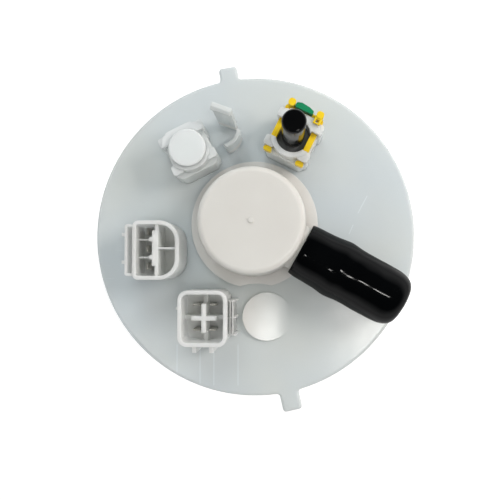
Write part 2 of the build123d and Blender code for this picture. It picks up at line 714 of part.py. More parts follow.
# ---------------------------------------------------------------- quick-connect ports
def port_socket(bore_floor):
    """Upright socket with four slotted ears; u runs outward along the flange's radius."""
    leg_low = CLIP_LEG_RISE - SNAP_GAP
    leg_high = CLIP_LEG_RISE + CLIP_LEG_T + SNAP_GAP
    half = PORT_BASE_HALF
    body = rounded_box(-PORT_BASE_IN, PORT_BASE_OUT, -half, half, 0, leg_low, PORT_BASE_CORNER)
    lobe = rounded_box(-PORT_BASE_OUT, PORT_BASE_OUT, -half, half, leg_low, PORT_H, PORT_LOBE_CORNER)
    body += lobe & block(0, PORT_BASE_OUT, -half, half, leg_low, PORT_H)
    body += rod(PORT_BODY_R, 0, PORT_H)
    ear = rounded_box(-PORT_EAR_LEN / 2, PORT_EAR_LEN / 2, -PORT_EAR_WIDTH / 2, PORT_EAR_WIDTH / 2,
                      0, PORT_H - PORT_EAR_DROP, PORT_EAR_FILLET)
    for u in (-PORT_INNER_EAR_U, PORT_OUTER_EAR_U):
        for v in (-PORT_EAR_V, PORT_EAR_V):
            body += Pos(u, v, 0) * ear
    body -= rod(PORT_BORE_R, bore_floor, PORT_H + 1)
    inner = CLIP_LEG_V - CLIP_LEG_W / 2 - SNAP_GAP
    outer = CLIP_LEG_V + CLIP_LEG_W / 2 + SNAP_GAP
    reach = PORT_BASE_OUT + 1
    toe = CLIP_TOE_W / 2 + SNAP_GAP
    for side in (-1, 1):
        low, high = sorted((side * inner, side * outer))
        body -= block(-reach, reach, low, high, leg_low, leg_high)
        middle = side * CLIP_LEG_V
        body -= block(-reach, PORT_EAR_LEN / 2 - PORT_INNER_EAR_U,
                      middle - toe, middle + toe, leg_low, leg_high)
        low, high = sorted((side * inner, side * reach))
        body -= block(PORT_EAR_LEN / 2 - PORT_INNER_EAR_U, PORT_OUTER_EAR_U - PORT_EAR_LEN / 2,
                      low, high, leg_low, PORT_H + 1)
        body -= block(PORT_OUTER_EAR_U + PORT_EAR_LEN / 2, reach, low, high, leg_low, PORT_H + 1)
    return body


def outlet_socket():
    body = OUTLET_PLACE * port_socket(PORT_FLOOR)
    return body - rod(SPIGOT_TAIL_R + SNAP_GAP, 0, TOP + PORT_H, OUTLET_X, OUTLET_Y)


def blank_socket():
    return BLANK_PLACE * port_socket(PORT_FLOOR)


def outlet_retainer():
    """Yellow U-shaped clip: two legs through the socket, joined by a head with two knuckles."""
    low = CLIP_LEG_RISE
    high = low + CLIP_LEG_T
    back = CLIP_HEAD_U + CLIP_HEAD_T
    body = block(CLIP_HEAD_U, back, -CLIP_HEAD_HALF, CLIP_HEAD_HALF, low - 1, high)
    for side in (-1, 1):
        body += rounded_box(CLIP_TIP_U, CLIP_HEAD_U + 1, side * CLIP_LEG_V - CLIP_LEG_W / 2,
                            side * CLIP_LEG_V + CLIP_LEG_W / 2, low, high, CLIP_LEG_W * CLIP_ROUND)
        body += rounded_box(CLIP_TIP_U, CLIP_TIP_U + CLIP_TOE_LEN, side * CLIP_LEG_V - CLIP_TOE_W / 2,
                            side * CLIP_LEG_V + CLIP_TOE_W / 2, low, high, CLIP_TOE_LEN * CLIP_ROUND)
        middle = side * CLIP_HEAD_HALF
        body += rounded_box(CLIP_HEAD_U, CLIP_HEAD_U + CLIP_KNUCKLE_LEN, middle - CLIP_KNUCKLE_W / 2,
                            middle + CLIP_KNUCKLE_W / 2, low - 1, low + CLIP_KNUCKLE_H,
                            CLIP_KNUCKLE_W * CLIP_KNUCKLE_ROUND)
    tab_high = low + CLIP_KNUCKLE_H - FREE_GAP
    edge = CLIP_KNUCKLE_W / 2 - CLIP_HEAD_HALF
    tab = block(CLIP_HEAD_U - CLIP_TAB_REACH, CLIP_HEAD_U + 1, edge - CLIP_KNUCKLE_W, edge,
                tab_high - CLIP_TAB_T, tab_high)
    slot_u = CLIP_HEAD_U - CLIP_TAB_REACH / 2
    slot_v = edge - CLIP_KNUCKLE_W / 2
    half = CLIP_TAB_SLOT / 2
    tab -= block(slot_u - half, slot_u + half, slot_v - half, slot_v + half,
                 tab_high - CLIP_TAB_T - 1, tab_high + 1)
    return OUTLET_PLACE * (body + tab)


def outlet_latch():
    """Green latch that spans the retainer's head between its knuckles."""
    outline = Pos(CLIP_HEAD_U, 0) * make_face(Polyline(*LATCH_OUTLINE, close=True))
    outline = fillet(outline.vertices(), LATCH_CORNER)
    body = prism(outline, LATCH_RISE, LATCH_RISE + LATCH_T)
    back = CLIP_HEAD_U + CLIP_HEAD_T
    hook = block(back, back + 1, -LATCH_HOOK_W / 2, LATCH_HOOK_W / 2,
                 LATCH_RISE - LATCH_HOOK_DROP, LATCH_RISE + 1)
    return OUTLET_PLACE * (body + hook)


def outlet_spigot():
    """Fuel pipe with a collar under the retainer and a hose tail below the flange."""
    collar_low = SPIGOT_COLLAR_RISE
    collar_high = collar_low + SPIGOT_COLLAR_H
    foot_high = PORT_FLOOR + 1.4
    wide = PORT_BORE_R - SNAP_GAP
    tail = SPIGOT_TAIL_R
    end = -SPIGOT_TAIL_DROP - TOP
    body = turned(
        (0, SPIGOT_TOP), (SPIGOT_R - 0.8, SPIGOT_TOP), (SPIGOT_R, SPIGOT_TOP - 0.8),
        (SPIGOT_R, collar_high), (wide, collar_high), (wide, collar_low), (SPIGOT_R, collar_low),
        (SPIGOT_R, foot_high), (wide, foot_high), (wide, PORT_FLOOR), (tail, PORT_FLOOR),
        (tail, end + 1.2), (tail - 0.8, end), (0, end))
    body -= rod(SPIGOT_BORE_R, 0, SPIGOT_TOP + 1)
    body -= rod(SPIGOT_TAIL_BORE_R, end - 1, 0.5)
    return OUTLET_PLACE * body


def outlet_oring():
    low = PORT_FLOOR + 1.4
    return OUTLET_PLACE * tube(PORT_BORE_R - RUN_GAP, SPIGOT_R + RUN_GAP, low, low + SPIGOT_COLLAR_RISE - low)


def outlet_cap():
    """Slim shipping cap over the fuel pipe."""
    body = rod(OUTLET_CAP_R, OUTLET_CAP_RISE, OUTLET_CAP_TOP)
    body = fillet(body.edges().sort_by(Axis.Z)[-1], OUTLET_CAP_EDGE)
    body -= rod(OUTLET_CAP_BORE_R, OUTLET_CAP_RISE - 1, SPIGOT_TOP + FREE_GAP)
    return OUTLET_PLACE * body


def blank_plug():
    """Push-in plug that closes the unused port."""
    body = rod(BLANK_PLUG_R, PORT_H, PORT_H + BLANK_PLUG_T)
    body = fillet(body.edges().sort_by(Axis.Z)[-1], 0.7)
    stem = rod(PORT_BORE_R - SNAP_GAP, PORT_H - BLANK_PLUG_DEPTH, PORT_H)
    return BLANK_PLACE * (body + stem)


# ---------------------------------------------------------------- electrical connectors
def shroud_cup(outline, inner):
    """Open connector cup with a thick floor."""
    return prism(outline, TOP, TOP + SHROUD_H) - prism(inner, TOP + SHROUD_FLOOR, TOP + SHROUD_H + 1)


def pump_connector():
    """Four-way connector with a cross-shaped divider."""
    place = Pos(FRONT_X, FRONT_Y)
    outline = place * RectangleRounded(FRONT_W, FRONT_D, FRONT_CORNER)
    inner = place * RectangleRounded(
        FRONT_W - 2 * SHROUD_WALL, FRONT_D - 2 * SHROUD_WALL, FRONT_CORNER - SHROUD_WALL)
    body = shroud_cup(outline, inner)
    low, middle, tall = SHROUD_FLOOR - WEB_ROOT, SHROUD_FLOOR + FRONT_ARM_H, SHROUD_H - FRONT_CROSS_DROP
    half = FRONT_CROSS_T / 2
    reach_x, reach_y = FRONT_W / 2 - SHROUD_WALL + WEB_ROOT, FRONT_D / 2 - SHROUD_WALL + WEB_ROOT
    shift = FRONT_CROSS_SHIFT
    cross = block(shift - half, shift + half, -FRONT_CROSS_Y / 2, FRONT_CROSS_Y / 2, low, tall)
    cross += block(shift - FRONT_CROSS_X / 2, shift + FRONT_CROSS_X / 2, -half, half, low, tall)
    cross += block(shift - half, shift + half, -reach_y, reach_y, low, middle)
    cross += block(-reach_x, reach_x, -half, half, low, middle)
    body += Pos(FRONT_X, FRONT_Y, TOP) * cross
    side = FRONT_X + FRONT_W / 2
    back, front = FRONT_Y + FRONT_GUARD_LEN / 2, FRONT_Y - FRONT_GUARD_LEN / 2
    high = TOP + FRONT_GUARD_H
    for i in (1, 2):
        x = side + i * FRONT_GUARD_PITCH
        body += block(x - FRONT_GUARD_T, x, front, back, TOP, high)
    for y in (front, FRONT_Y - FRONT_GUARD_T / 2, back - FRONT_GUARD_T):
        body += block(side - WEB_ROOT, side + 2 * FRONT_GUARD_PITCH + FRONT_NUB, y, y + FRONT_GUARD_T,
                      TOP, high - FRONT_NUB)
    nub_y = FRONT_Y + FRONT_STUB_DX
    body += block(side - FRONT_W - FRONT_NUB, side - FRONT_W + WEB_ROOT, nub_y, nub_y + FRONT_NUB,
                  TOP, TOP + FRONT_STUB_H)
    wall = FRONT_Y - FRONT_D / 2
    for x in (FRONT_X - FRONT_STUB_DX, FRONT_X + FRONT_STUB_DX):
        body += block(x - FRONT_STUB_W / 2, x + FRONT_STUB_W / 2, wall - FRONT_STUB_OUT, wall + WEB_ROOT,
                      TOP, TOP + FRONT_STUB_H)
    for pin in FRONT_PINS:
        body -= blade(pin, TOP - 1, TOP + SHROUD_FLOOR + 1, SLOT_GAP)
    return body


def side_outline(inset):
    """Connector outline with two large rounded corners on its right side."""
    outline = make_face(Polyline(
        (SIDE_LEFT + inset, SIDE_BOTTOM + inset), (SIDE_RIGHT - inset, SIDE_BOTTOM + inset),
        (SIDE_RIGHT - inset, SIDE_TOP - inset), (SIDE_LEFT + inset, SIDE_TOP - inset), close=True))
    middle = (SIDE_LEFT + SIDE_RIGHT) / 2
    outline = fillet([v for v in outline.vertices() if v.X > middle], SIDE_ROUND - inset)
    return fillet([v for v in outline.vertices() if v.X < SIDE_LEFT + inset + 0.1], SIDE_CORNER - inset)


def sender_connector():
    """Three-way connector with a divider, two empty cells and a latch pocket."""
    body = shroud_cup(side_outline(0), side_outline(SHROUD_WALL))
    floor = TOP + SHROUD_FLOOR - WEB_ROOT
    high = TOP + SHROUD_H - SIDE_DIVIDER_DROP
    low_y, high_y = SIDE_BOTTOM + SHROUD_WALL - WEB_ROOT, SIDE_TOP - SHROUD_WALL + WEB_ROOT
    mid = SIDE_CELL_MID
    thin, web = SIDE_RAIL_T / 2, SIDE_WEB_T / 2
    body += block(SIDE_DIVIDER_X - thin, SIDE_DIVIDER_X + thin, low_y, high_y, floor, high)
    right, left = SIDE_DIVIDER_X + thin, SIDE_DIVIDER_X + thin - SIDE_DIVIDER_T
    body += block(left, right, mid - SIDE_DIVIDER_LEN / 2, mid + SIDE_DIVIDER_LEN / 2, floor, high)
    body += block(SIDE_DIVIDER_X, SIDE_RIGHT - SHROUD_WALL + WEB_ROOT, mid - web, mid + web, floor, high)
    for side in (-0.5, 0.5):
        y = mid + side * SIDE_PIN_PITCH
        body += block(SIDE_LEFT + SHROUD_WALL - WEB_ROOT, SIDE_DIVIDER_X, y - SIDE_CELL_WEB_T / 2,
                      y + SIDE_CELL_WEB_T / 2, floor, high - SIDE_CELL_WEB_DROP)
        body += rod(SIDE_KNOB_R, floor, high, left - WEB_ROOT, y)
    reach = SIDE_LEFT - SIDE_POCKET_REACH
    long = SIDE_POCKET_LEN / 2
    pocket = rounded_box(reach, SIDE_LEFT + WEB_ROOT, SIDE_MID - long, SIDE_MID + long, TOP, TOP + SHROUD_H,
                         SIDE_POCKET_CORNER)
    pocket -= block(reach + SIDE_POCKET_WALL, SIDE_LEFT, SIDE_MID - long + SIDE_POCKET_WALL,
                    SIDE_MID + long - SIDE_POCKET_WALL, TOP + SHROUD_FLOOR, TOP + SHROUD_H + 1)
    body += pocket - side_prism_inside()
    for side in (-0.5, 0.5):
        y = mid + side * SIDE_STUB_PITCH
        body += block(reach - SIDE_STUB_OUT, reach + WEB_ROOT, y - SIDE_STUB_W / 2, y + SIDE_STUB_W / 2,
                      TOP, TOP + SHROUD_H - SIDE_STUB_DROP)
    for pin in SIDE_PINS:
        body -= blade(pin, TOP - 1, TOP + SHROUD_FLOOR + 1, SLOT_GAP)
    return body


def side_prism_inside():
    """Space inside the three-way cup, kept clear of the latch pocket's walls."""
    return prism(side_outline(SHROUD_WALL), TOP + SHROUD_FLOOR, TOP + SHROUD_H + 1)


def contact(pin):
    """Flat contact with a pointed tip, through the flange."""
    body = blade(pin, -PIN_TAIL, TOP + PIN_RISE)
    return chamfer(body.faces().sort_by(Axis.Z)[-1].edges(), PIN_POINT * PIN_POINT_SHARE)


def contacts(pins):
    return Compound(children=[contact(pin) for pin in pins])


def harness_plug(pins):
    """Plug under the flange that the inner contacts reach into."""
    around = Compound(children=[blade(pin, -PLUG_H, 0, PLUG_MARGIN) for pin in pins]).bounding_box()
    body = rounded_box(around.min.X, around.max.X, around.min.Y, around.max.Y, -PLUG_H, 0, PLUG_CORNER)
    for pin in pins:
        body -= blade(pin, -PIN_TAIL - PLUG_DEEPER, 1, 2 * SLOT_GAP)
    return body


# ---------------------------------------------------------------- guide rods
def at_rods(solid):
    """A copy of a solid at each guide rod."""
    return Compound(children=[Pos(x, y, 0) * solid for x, y in RODS])


def guide_rods():
    """Steel rods fixed in the flange that the reservoir slides on."""
    groove = LID_BOTTOM - GUIDE_LEN
    body = rod(ROD_R, groove - CLIP_RING_T - ROD_TIP, -1)
    body = chamfer(body.edges().sort_by(Axis.Z)[0], 0.6)
    return at_rods(body - tube(ROD_R + 1, ROD_R - CLIP_GROOVE, groove - CLIP_RING_T, groove))


def guide_springs():
    """Springs that press the reservoir down onto the tank's floor."""
    return at_rods(coil(ROD_SPRING_R, ROD_SPRING_WIRE, LID_TOP, -ROD_BOSS_H, ROD_SPRING_TURNS))


def rod_clips():
    """Retaining rings in the grooves at the lower end of the guide rods."""
    top = LID_BOTTOM - GUIDE_LEN
    ring = tube(CLIP_RING_R, ROD_R - CLIP_GROOVE, top - CLIP_RING_T, top)
    return at_rods(ring - block(0, CLIP_RING_R + 1, -1.2, 1.2, top - 2, top + 1))


# ---------------------------------------------------------------- reservoir and lid
def reservoir():
    outer = d_outline(RES_R, RES_FLAT, RES_CORNER)
    inner = d_outline(RES_R - RES_WALL, RES_FLAT - RES_WALL, RES_CORNER - RES_WALL)
    body = prism(outer, RES_BOTTOM, RES_RIM) - prism(inner, FLOOR_TOP, RES_RIM + 1)
    for i in range(RIB_COUNT):
        angle = RIB_FROM + i * (RIB_TO - RIB_FROM) / (RIB_COUNT - 1)
        x = RES_R - 0.3
        rib = block(x, RES_R + RIB_OUT, -RIB_T / 2, RIB_T / 2, RES_BOTTOM + 4, RES_RIM - LID_LIP_H - 12)
        body += Rot(0, 0, angle) * rib
    for angle in SNAP_ANGLES:
        nub = Plane.XZ * make_face(Polyline(
            (RES_R - 0.3, RES_RIM - LID_LIP_H - 5), (RES_R - 0.3, RES_RIM - LID_LIP_H - 5 + SNAP_H),
            (RES_R + SNAP_OUT, RES_RIM - LID_LIP_H - 5 + SNAP_H), close=True))
        body += Rot(0, 0, angle) * extrude(nub, SNAP_W / 2 - 1.5, both=True)
    for x, y in RODS:
        guide = rod(GUIDE_R, RES_RIM - GUIDE_LEN, RES_RIM, x, y)
        length = RES_R - 1 - hypot(x, y)
        turn = degrees(atan2(y, x))
        web = block(0, length, -1.2, 1.2, RES_RIM - GUIDE_LEN, RES_RIM)
        body += guide + Pos(x, y, 0) * Rot(0, 0, turn) * web
        body -= rod(ROD_R + RUN_GAP, RES_RIM - GUIDE_LEN - 1, RES_RIM + 1, x, y)
    for angle in FOOT_ANGLES:
        x, y = polar(FOOT_CENTRE_R, angle)
        body += rod(FOOT_R, RES_BOTTOM - FOOT_H, RES_BOTTOM + 0.5, x, y)
    body -= rod(FLAP_STEM_R + 0.2, RES_BOTTOM - 1, FLOOR_TOP + 1, FLAP_X, FLAP_Y)
    for i in range(FLAP_HOLES):
        x, y = polar(FLAP_R * 0.66, 45 + i * 360 / FLAP_HOLES, FLAP_X, FLAP_Y)
        body -= rod(FLAP_HOLE_R, RES_BOTTOM - 1, FLOOR_TOP + 1, x, y)
    body -= rod(JET_BORE_R, RES_BOTTOM - 1, FLOOR_TOP + 1, JET_NOZZLE[0] + JET_MOUTH, JET_Y)
    for x in (SENDER_X - SENDER_W / 2 - SNAP_GAP - RAIL_T, SENDER_X + SENDER_W / 2 + SNAP_GAP):
        body += block(x, x + RAIL_T, FLAT_FACE - RAIL_OUT, FLAT_FACE + 0.3, SENDER_TOP - SENDER_H, SENDER_TOP)
    return body


def reservoir_lid():
    """Lid that holds the filter, with a lip and snap tabs round the reservoir's rim."""
    gap = SNAP_GAP
    outer = d_outline(RES_R + gap + LID_LIP_T, RES_FLAT + gap + LID_LIP_T, RES_CORNER + gap + LID_LIP_T)
    inner = d_outline(RES_R + gap, RES_FLAT + gap, RES_CORNER + gap)
    body = prism(outer, LID_BOTTOM - LID_LIP_H, LID_TOP)
    body -= prism(inner, LID_BOTTOM - LID_LIP_H - 1, LID_BOTTOM)
    tab_low = LID_BOTTOM - LID_LIP_H - 9
    wall = tube(RES_R + gap + LID_LIP_T, RES_R + gap, tab_low, LID_BOTTOM - LID_LIP_H + 0.5)
    for angle in SNAP_ANGLES:
        place = Rot(0, 0, angle)
        tab = place * block(0, RES_R + 5, -SNAP_W / 2, SNAP_W / 2, tab_low - 1, LID_BOTTOM - LID_LIP_H + 1)
        body += wall & tab
        window = block(RES_R - 1, RES_R + 5, -SNAP_W / 2 + 1.3, SNAP_W / 2 - 1.3,
                       LID_BOTTOM - LID_LIP_H - 5.2, LID_BOTTOM - LID_LIP_H - 5 + SNAP_H + gap)
        body -= place * window
    for x, y in RODS:
        body += rod(ROD_SPRING_R - ROD_SPRING_WIRE - gap, LID_TOP - 0.5, LID_TOP + SPRING_COLLAR_H, x, y)
        body -= rod(ROD_R + FREE_GAP, LID_BOTTOM - 1, LID_TOP + SPRING_COLLAR_H + 1, x, y)
    holes = [(PUMP_R + FREE_GAP, (CORE_X, CORE_Y)), (COVER_NIPPLE_R + gap, HOSE_SEAT),
             (COVER_NIPPLE_R + gap, FEED_SEAT), (REG_BOSS_R + gap, REG_SEAT),
             (JET_FEED_R + gap, JET_FEED)]
    for radius, (x, y) in holes:
        body -= rod(radius, LID_BOTTOM - 1, LID_TOP + 1, x, y)
    half = LID_VENT_SIDE / 2
    for x in (-LID_VENT_X, LID_VENT_X):
        body -= block(x - half, x + half, LID_VENT_Y - half, LID_VENT_Y + half, LID_BOTTOM - 1, LID_TOP + 1)
    return body


# ---------------------------------------------------------------- filter
def filter_case():
    """Ring-shaped cup round the pump, open at the top."""
    body = tube(FILTER_R, FILTER_IN_R, FILTER_BOTTOM, COVER_BOTTOM, CORE_X, CORE_Y)
    space = tube(FILTER_R - FILTER_WALL, FILTER_IN_R + FILTER_WALL, FILTER_BOTTOM + 2, COVER_BOTTOM + 1,
                 CORE_X, CORE_Y)
    return body - space


def filter_element():
    """Pleated paper ring."""
    low_r = FILTER_IN_R + FILTER_WALL + PLEAT_GAP
    high_r = FILTER_R - FILTER_WALL - PLEAT_GAP
    points = []
    for i in range(PLEATS):
        points.append(polar(high_r, i * 360 / PLEATS))
        points.append(polar(high_r - 3.2, (i + 0.5) * 360 / PLEATS))
    star = make_face(Polyline(*points, close=True)) - Circle(low_r)
    return Pos(CORE_X, CORE_Y, 0) * prism(star, FILTER_BOTTOM + 2, COVER_BOTTOM)


def filter_cover():
    """Welded cover with the fuel outlet, the feed inlet and the regulator's socket."""
    body = tube(FILTER_R, FILTER_IN_R, COVER_BOTTOM, COVER_TOP, CORE_X, CORE_Y)
    body += tube(FILTER_R + COVER_LIP, FILTER_R + SNAP_GAP / 2, COVER_BOTTOM - COVER_LIP_H, COVER_BOTTOM + 0.5,
                 CORE_X, CORE_Y)
    body += tube(FILTER_R + COVER_LIP, FILTER_R - 0.3, COVER_BOTTOM, COVER_BOTTOM + 3, CORE_X, CORE_Y)
    seats = ((HOSE_SEAT, LID_TOP + HOSE_NIPPLE_H), (FEED_SEAT, LID_TOP + FEED_NIPPLE_H))
    for (x, y), top in seats:
        body += rod(COVER_NIPPLE_R, COVER_TOP - 0.5, top, x, y)
    x, y = REG_SEAT
    body += rod(REG_BOSS_R, COVER_TOP - 0.5, REG_BOSS_TOP, x, y)
    for (x, y), top in seats:
        body -= rod(COVER_NIPPLE_BORE_R, COVER_BOTTOM - 1, top + 1, x, y)
    x, y = REG_SEAT
    body -= rod(REG_R + SNAP_GAP, REG_BOSS_TOP - REG_TAIL - 0.5, REG_BOSS_TOP + 1, x, y)
    return body - rod(1.5, COVER_BOTTOM - 1, REG_BOSS_TOP, x, y)


def crossover_pipe():
    """Moulded U-shaped pipe from the pump's outlet to the filter's feed."""
    low_a = END_CAP_TOP + 3
    low_b = LID_TOP + 2
    run = LID_TOP + CROSSOVER_H
    points = [(BARREL[0], BARREL[1], low_a + 8), (BARREL[0], BARREL[1], run),
              (FEED_SEAT[0], FEED_SEAT[1], run), (FEED_SEAT[0], FEED_SEAT[1], low_b + 6)]
    body = pipe(points, CROSSOVER_BEND, CROSSOVER_R)
    body += rod(BARREL_R + 1.3, low_a, low_a + 10, *BARREL)
    body += rod(COVER_NIPPLE_R + 1.3, low_b, low_b + 8, *FEED_SEAT)
    body -= pipe(points, CROSSOVER_BEND, CROSSOVER_BORE_R)
    body -= rod(BARREL_R + RUN_GAP, low_a - 1, BARREL_TOP, *BARREL)
    return body - rod(COVER_NIPPLE_R + RUN_GAP, low_b - 1, LID_TOP + FEED_NIPPLE_H, *FEED_SEAT)


# ---------------------------------------------------------------- pressure regulator
def regulator():
    """Steel regulator can that stands in the filter cover's socket."""
    x, y = REG_SEAT
    low = REG_BOSS_TOP - REG_TAIL
    neck = REG_R - 2 * REG_ORING_R + 0.2
    body = turned(
        (0, low), (neck, low), (neck, low + 3), (REG_R, low + 3), (REG_R, REG_BOSS_TOP),
        (REG_FLANGE_R, REG_BOSS_TOP), (REG_FLANGE_R, REG_BOSS_TOP + REG_FLANGE_T),
        (REG_R - 0.6, REG_BOSS_TOP + REG_FLANGE_T + 0.8), (REG_R - 0.6, REG_BOSS_TOP + REG_DOME_H - 1.2),
        (REG_R - 1.8, REG_BOSS_TOP + REG_DOME_H), (2.4, REG_BOSS_TOP + REG_DOME_H),
        (2.4, REG_BOSS_TOP + REG_DOME_H - 1), (0, REG_BOSS_TOP + REG_DOME_H - 1))
    return Pos(x, y, 0) * body


def regulator_oring():
    x, y = REG_SEAT
    low = REG_BOSS_TOP - REG_TAIL
    neck = REG_R - 2 * REG_ORING_R + 0.2
    return tube(REG_R + SNAP_GAP - RUN_GAP, neck + RUN_GAP, low + 0.4, low + 2.8, x, y)


def regulator_clip():
    """Spring steel clip over the regulator's flange and the socket's rim."""
    x, y = REG_SEAT
    low = REG_BOSS_TOP + REG_FLANGE_T
    high = low + REG_CLIP_T
    outer = REG_BOSS_R + SNAP_GAP + REG_CLIP_T
    legs = tube(outer, REG_BOSS_R + SNAP_GAP, REG_BOSS_TOP - 3, low + 1)
    legs &= block(-outer, outer, -3.2, 3.2, REG_BOSS_TOP - 4, high + 2)
    body = legs + tube(outer, REG_R - 0.2, low + 0.8, high + 0.8)
    turn = REG_ANGLE + 90
    return Pos(x, y, 0) * Rot(0, 0, turn) * body


# ---------------------------------------------------------------- electric pump
def at_core(solid):
    """Moves a solid from the Z axis to the pump's axis."""
    return Pos(CORE_X, CORE_Y, 0) * solid


def pump_can():
    """Drawn steel can, rolled in over both end caps."""
    body = tube(PUMP_R, CAN_BORE, PUMP_BOTTOM, PUMP_TOP)
    body += tube(CAN_BORE + 0.3, END_CAP_R + SNAP_GAP, PUMP_TOP - 0.9, PUMP_TOP)
    return at_core(body)


def pump_end_cap():
    """Outlet end: bearing, brush slots and the outlet barrel."""
    body = rod(CAN_BORE - SNAP_GAP, END_PLUG_BOTTOM, PUMP_TOP - 0.9)
    body += rod(END_CAP_R, PUMP_TOP - 1, END_CAP_TOP)
    body += rod(BARREL_R, END_CAP_TOP - 0.5, BARREL_TOP, OUTLET_OFFSET, 0)
    body -= rod(BARREL_BORE_R, CHECK_SEAT, CHECK_SEAT + CHECK_LEN + CHECK_LIFT + FREE_GAP, OUTLET_OFFSET, 0)
    body -= rod(BARREL_NOSE_BORE_R, CHECK_SEAT, BARREL_TOP + 1, OUTLET_OFFSET, 0)
    body -= rod(CHECK_SEAT_R, END_PLUG_BOTTOM - 1, CHECK_SEAT + 1, OUTLET_OFFSET, 0)
    body -= rod(SHAFT_R + RUN_GAP, END_PLUG_BOTTOM - 1, END_PLUG_BOTTOM + 5)
    for turn in (0, 180):
        body += Rot(0, 0, turn) * brush_holder()
    return at_core(body)


def brush_holder():
    """Box-shaped guide under the end cap that carries one brush."""
    middle = (COMMUTATOR_TOP + COMMUTATOR_BOTTOM) / 2
    near = COMMUTATOR_R + 1.2
    far = CAN_BORE - SNAP_GAP - 0.5
    half = BRUSH_W / 2 + SNAP_GAP
    tall = BRUSH_H / 2 + SNAP_GAP
    holder = block(near, far, -half - 1, half + 1, middle - tall - 1, END_PLUG_BOTTOM + 0.5)
    return holder - block(near - 1, near + BRUSH_LEN + 1.5, -half, half, middle - tall, middle + tall)


def pump_inlet_cover():
    """Inlet end with its stub and the impeller's lower channel."""
    body = rod(CAN_BORE - SNAP_GAP, PUMP_BOTTOM, PUMP_BOTTOM + INLET_COVER_H)
    body += rod(INLET_STUB_R, PUMP_BOTTOM - INLET_STUB_H, PUMP_BOTTOM + 0.5)
    body -= rod(INLET_BORE_R, PUMP_BOTTOM - INLET_STUB_H - 1, PUMP_BOTTOM + INLET_COVER_H - 2)
    channel = tube(IMPELLER_R - 0.5, IMPELLER_R - 4,
                   PUMP_BOTTOM + INLET_COVER_H - 2, PUMP_BOTTOM + INLET_COVER_H + 1)
    return at_core(body - channel)


def pump_chamber():
    """Plate over the impeller, with the lower bearing."""
    body = rod(CAN_BORE - SNAP_GAP, CHAMBER_BOTTOM, CHAMBER_TOP)
    body += tube(CAN_BORE - SNAP_GAP, IMPELLER_R + FREE_GAP, PUMP_BOTTOM + INLET_COVER_H, CHAMBER_BOTTOM + 0.5)
    return at_core(body - rod(SHAFT_R + RUN_GAP, CHAMBER_BOTTOM - 1, CHAMBER_TOP + 1))


def pump_magnets():
    """Two arc magnets on the can's wall."""
    shells = []
    low = (ARMATURE_TOP + ARMATURE_BOTTOM) / 2 - MAGNET_H / 2
    beyond = 2 * CAN_BORE                                 # outside the can all round
    for turn in (90, 270):
        sector = make_face(Polyline(
            (0, 0), polar(beyond, -MAGNET_SPAN / 2), (1.5 * beyond, 0), polar(beyond, MAGNET_SPAN / 2),
            close=True))
        shell = tube(CAN_BORE - RUN_GAP, MAGNET_R_IN, low, low + MAGNET_H)
        shell = shell & prism(sector, low - 1, low + MAGNET_H + 1)
        shells.append(at_core(Rot(0, 0, turn) * shell))
    return Compound(children=shells)


def pump_armature():
    """Slotted iron core with its windings."""
    body = rod(ARMATURE_R, ARMATURE_BOTTOM, ARMATURE_TOP)
    for i in range(ARMATURE_SLOTS):
        slot = block(ARMATURE_R - 2.5, ARMATURE_R + 1, -0.8, 0.8, ARMATURE_BOTTOM - 1, ARMATURE_TOP + 1)
        body -= Rot(0, 0, i * 360 / ARMATURE_SLOTS) * slot
    return at_core(body - rod(SHAFT_R, ARMATURE_BOTTOM - 1, ARMATURE_TOP + 1))


def pump_commutator():
    return at_core(tube(COMMUTATOR_R, SHAFT_R, COMMUTATOR_BOTTOM, COMMUTATOR_TOP))


def pump_shaft():
    return at_core(rod(SHAFT_R, IMPELLER_BOTTOM, END_PLUG_BOTTOM + 4))


def pump_impeller():
    """Disc with a row of pockets round its edge."""
    body = tube(IMPELLER_R, SHAFT_R, IMPELLER_BOTTOM, IMPELLER_TOP)
    for i in range(IMPELLER_BLADES):
        pocket = block(IMPELLER_R - 3, IMPELLER_R + 1, -1.1, 1.1, IMPELLER_BOTTOM - 1, IMPELLER_TOP + 1)
        body -= Rot(0, 0, i * 360 / IMPELLER_BLADES) * pocket
    return at_core(body)


def pump_brushes():
    """Two carbon brushes against the commutator."""
    middle = (COMMUTATOR_TOP + COMMUTATOR_BOTTOM) / 2
    near = COMMUTATOR_R + RUN_GAP
    brush = block(near, near + BRUSH_LEN, -BRUSH_W / 2, BRUSH_W / 2, middle - BRUSH_H / 2, middle + BRUSH_H / 2)
    return Compound(children=[at_core(Rot(0, 0, turn) * brush) for turn in (0, 180)])


def check_valve():
    """Poppet that closes the outlet barrel when the pump stops."""
    body = rod(CHECK_HEAD_R, CHECK_SEAT, CHECK_SEAT + CHECK_LEN, *BARREL)
    return chamfer(body.edges().sort_by(Axis.Z)[-1], CHECK_BEVEL)


def pump_plug():
    """Electrical plug on the pump's end cap."""
    x, y = PUMP_PLUG
    return rounded_box(x - 3.2, x + 3.2, y - 6.5, y + 6.5, END_CAP_TOP, END_CAP_TOP + PUMP_PLUG_H, 1.0)


def pump_isolator():
    """Rubber sleeve that centres the pump in the filter case."""
    body = tube(FILTER_IN_R - SNAP_GAP, PUMP_R + RUN_GAP, PUMP_BOTTOM, PUMP_BOTTOM + ISOLATOR_H)
    body += tube(FILTER_IN_R - SNAP_GAP, PUMP_R - ISOLATOR_GRIP, PUMP_BOTTOM - ISOLATOR_LIP, PUMP_BOTTOM)
    body += tube(FILTER_IN_R + 3, PUMP_R + RUN_GAP, PUMP_BOTTOM - ISOLATOR_LIP, FILTER_BOTTOM)
    return at_core(body)


def strainer_neck():
    low = PUMP_BOTTOM - STRAINER_NECK_H
    body = tube(STRAINER_NECK_R, INLET_STUB_R + PRESS_GAP, low, PUMP_BOTTOM)
    return at_core(body)


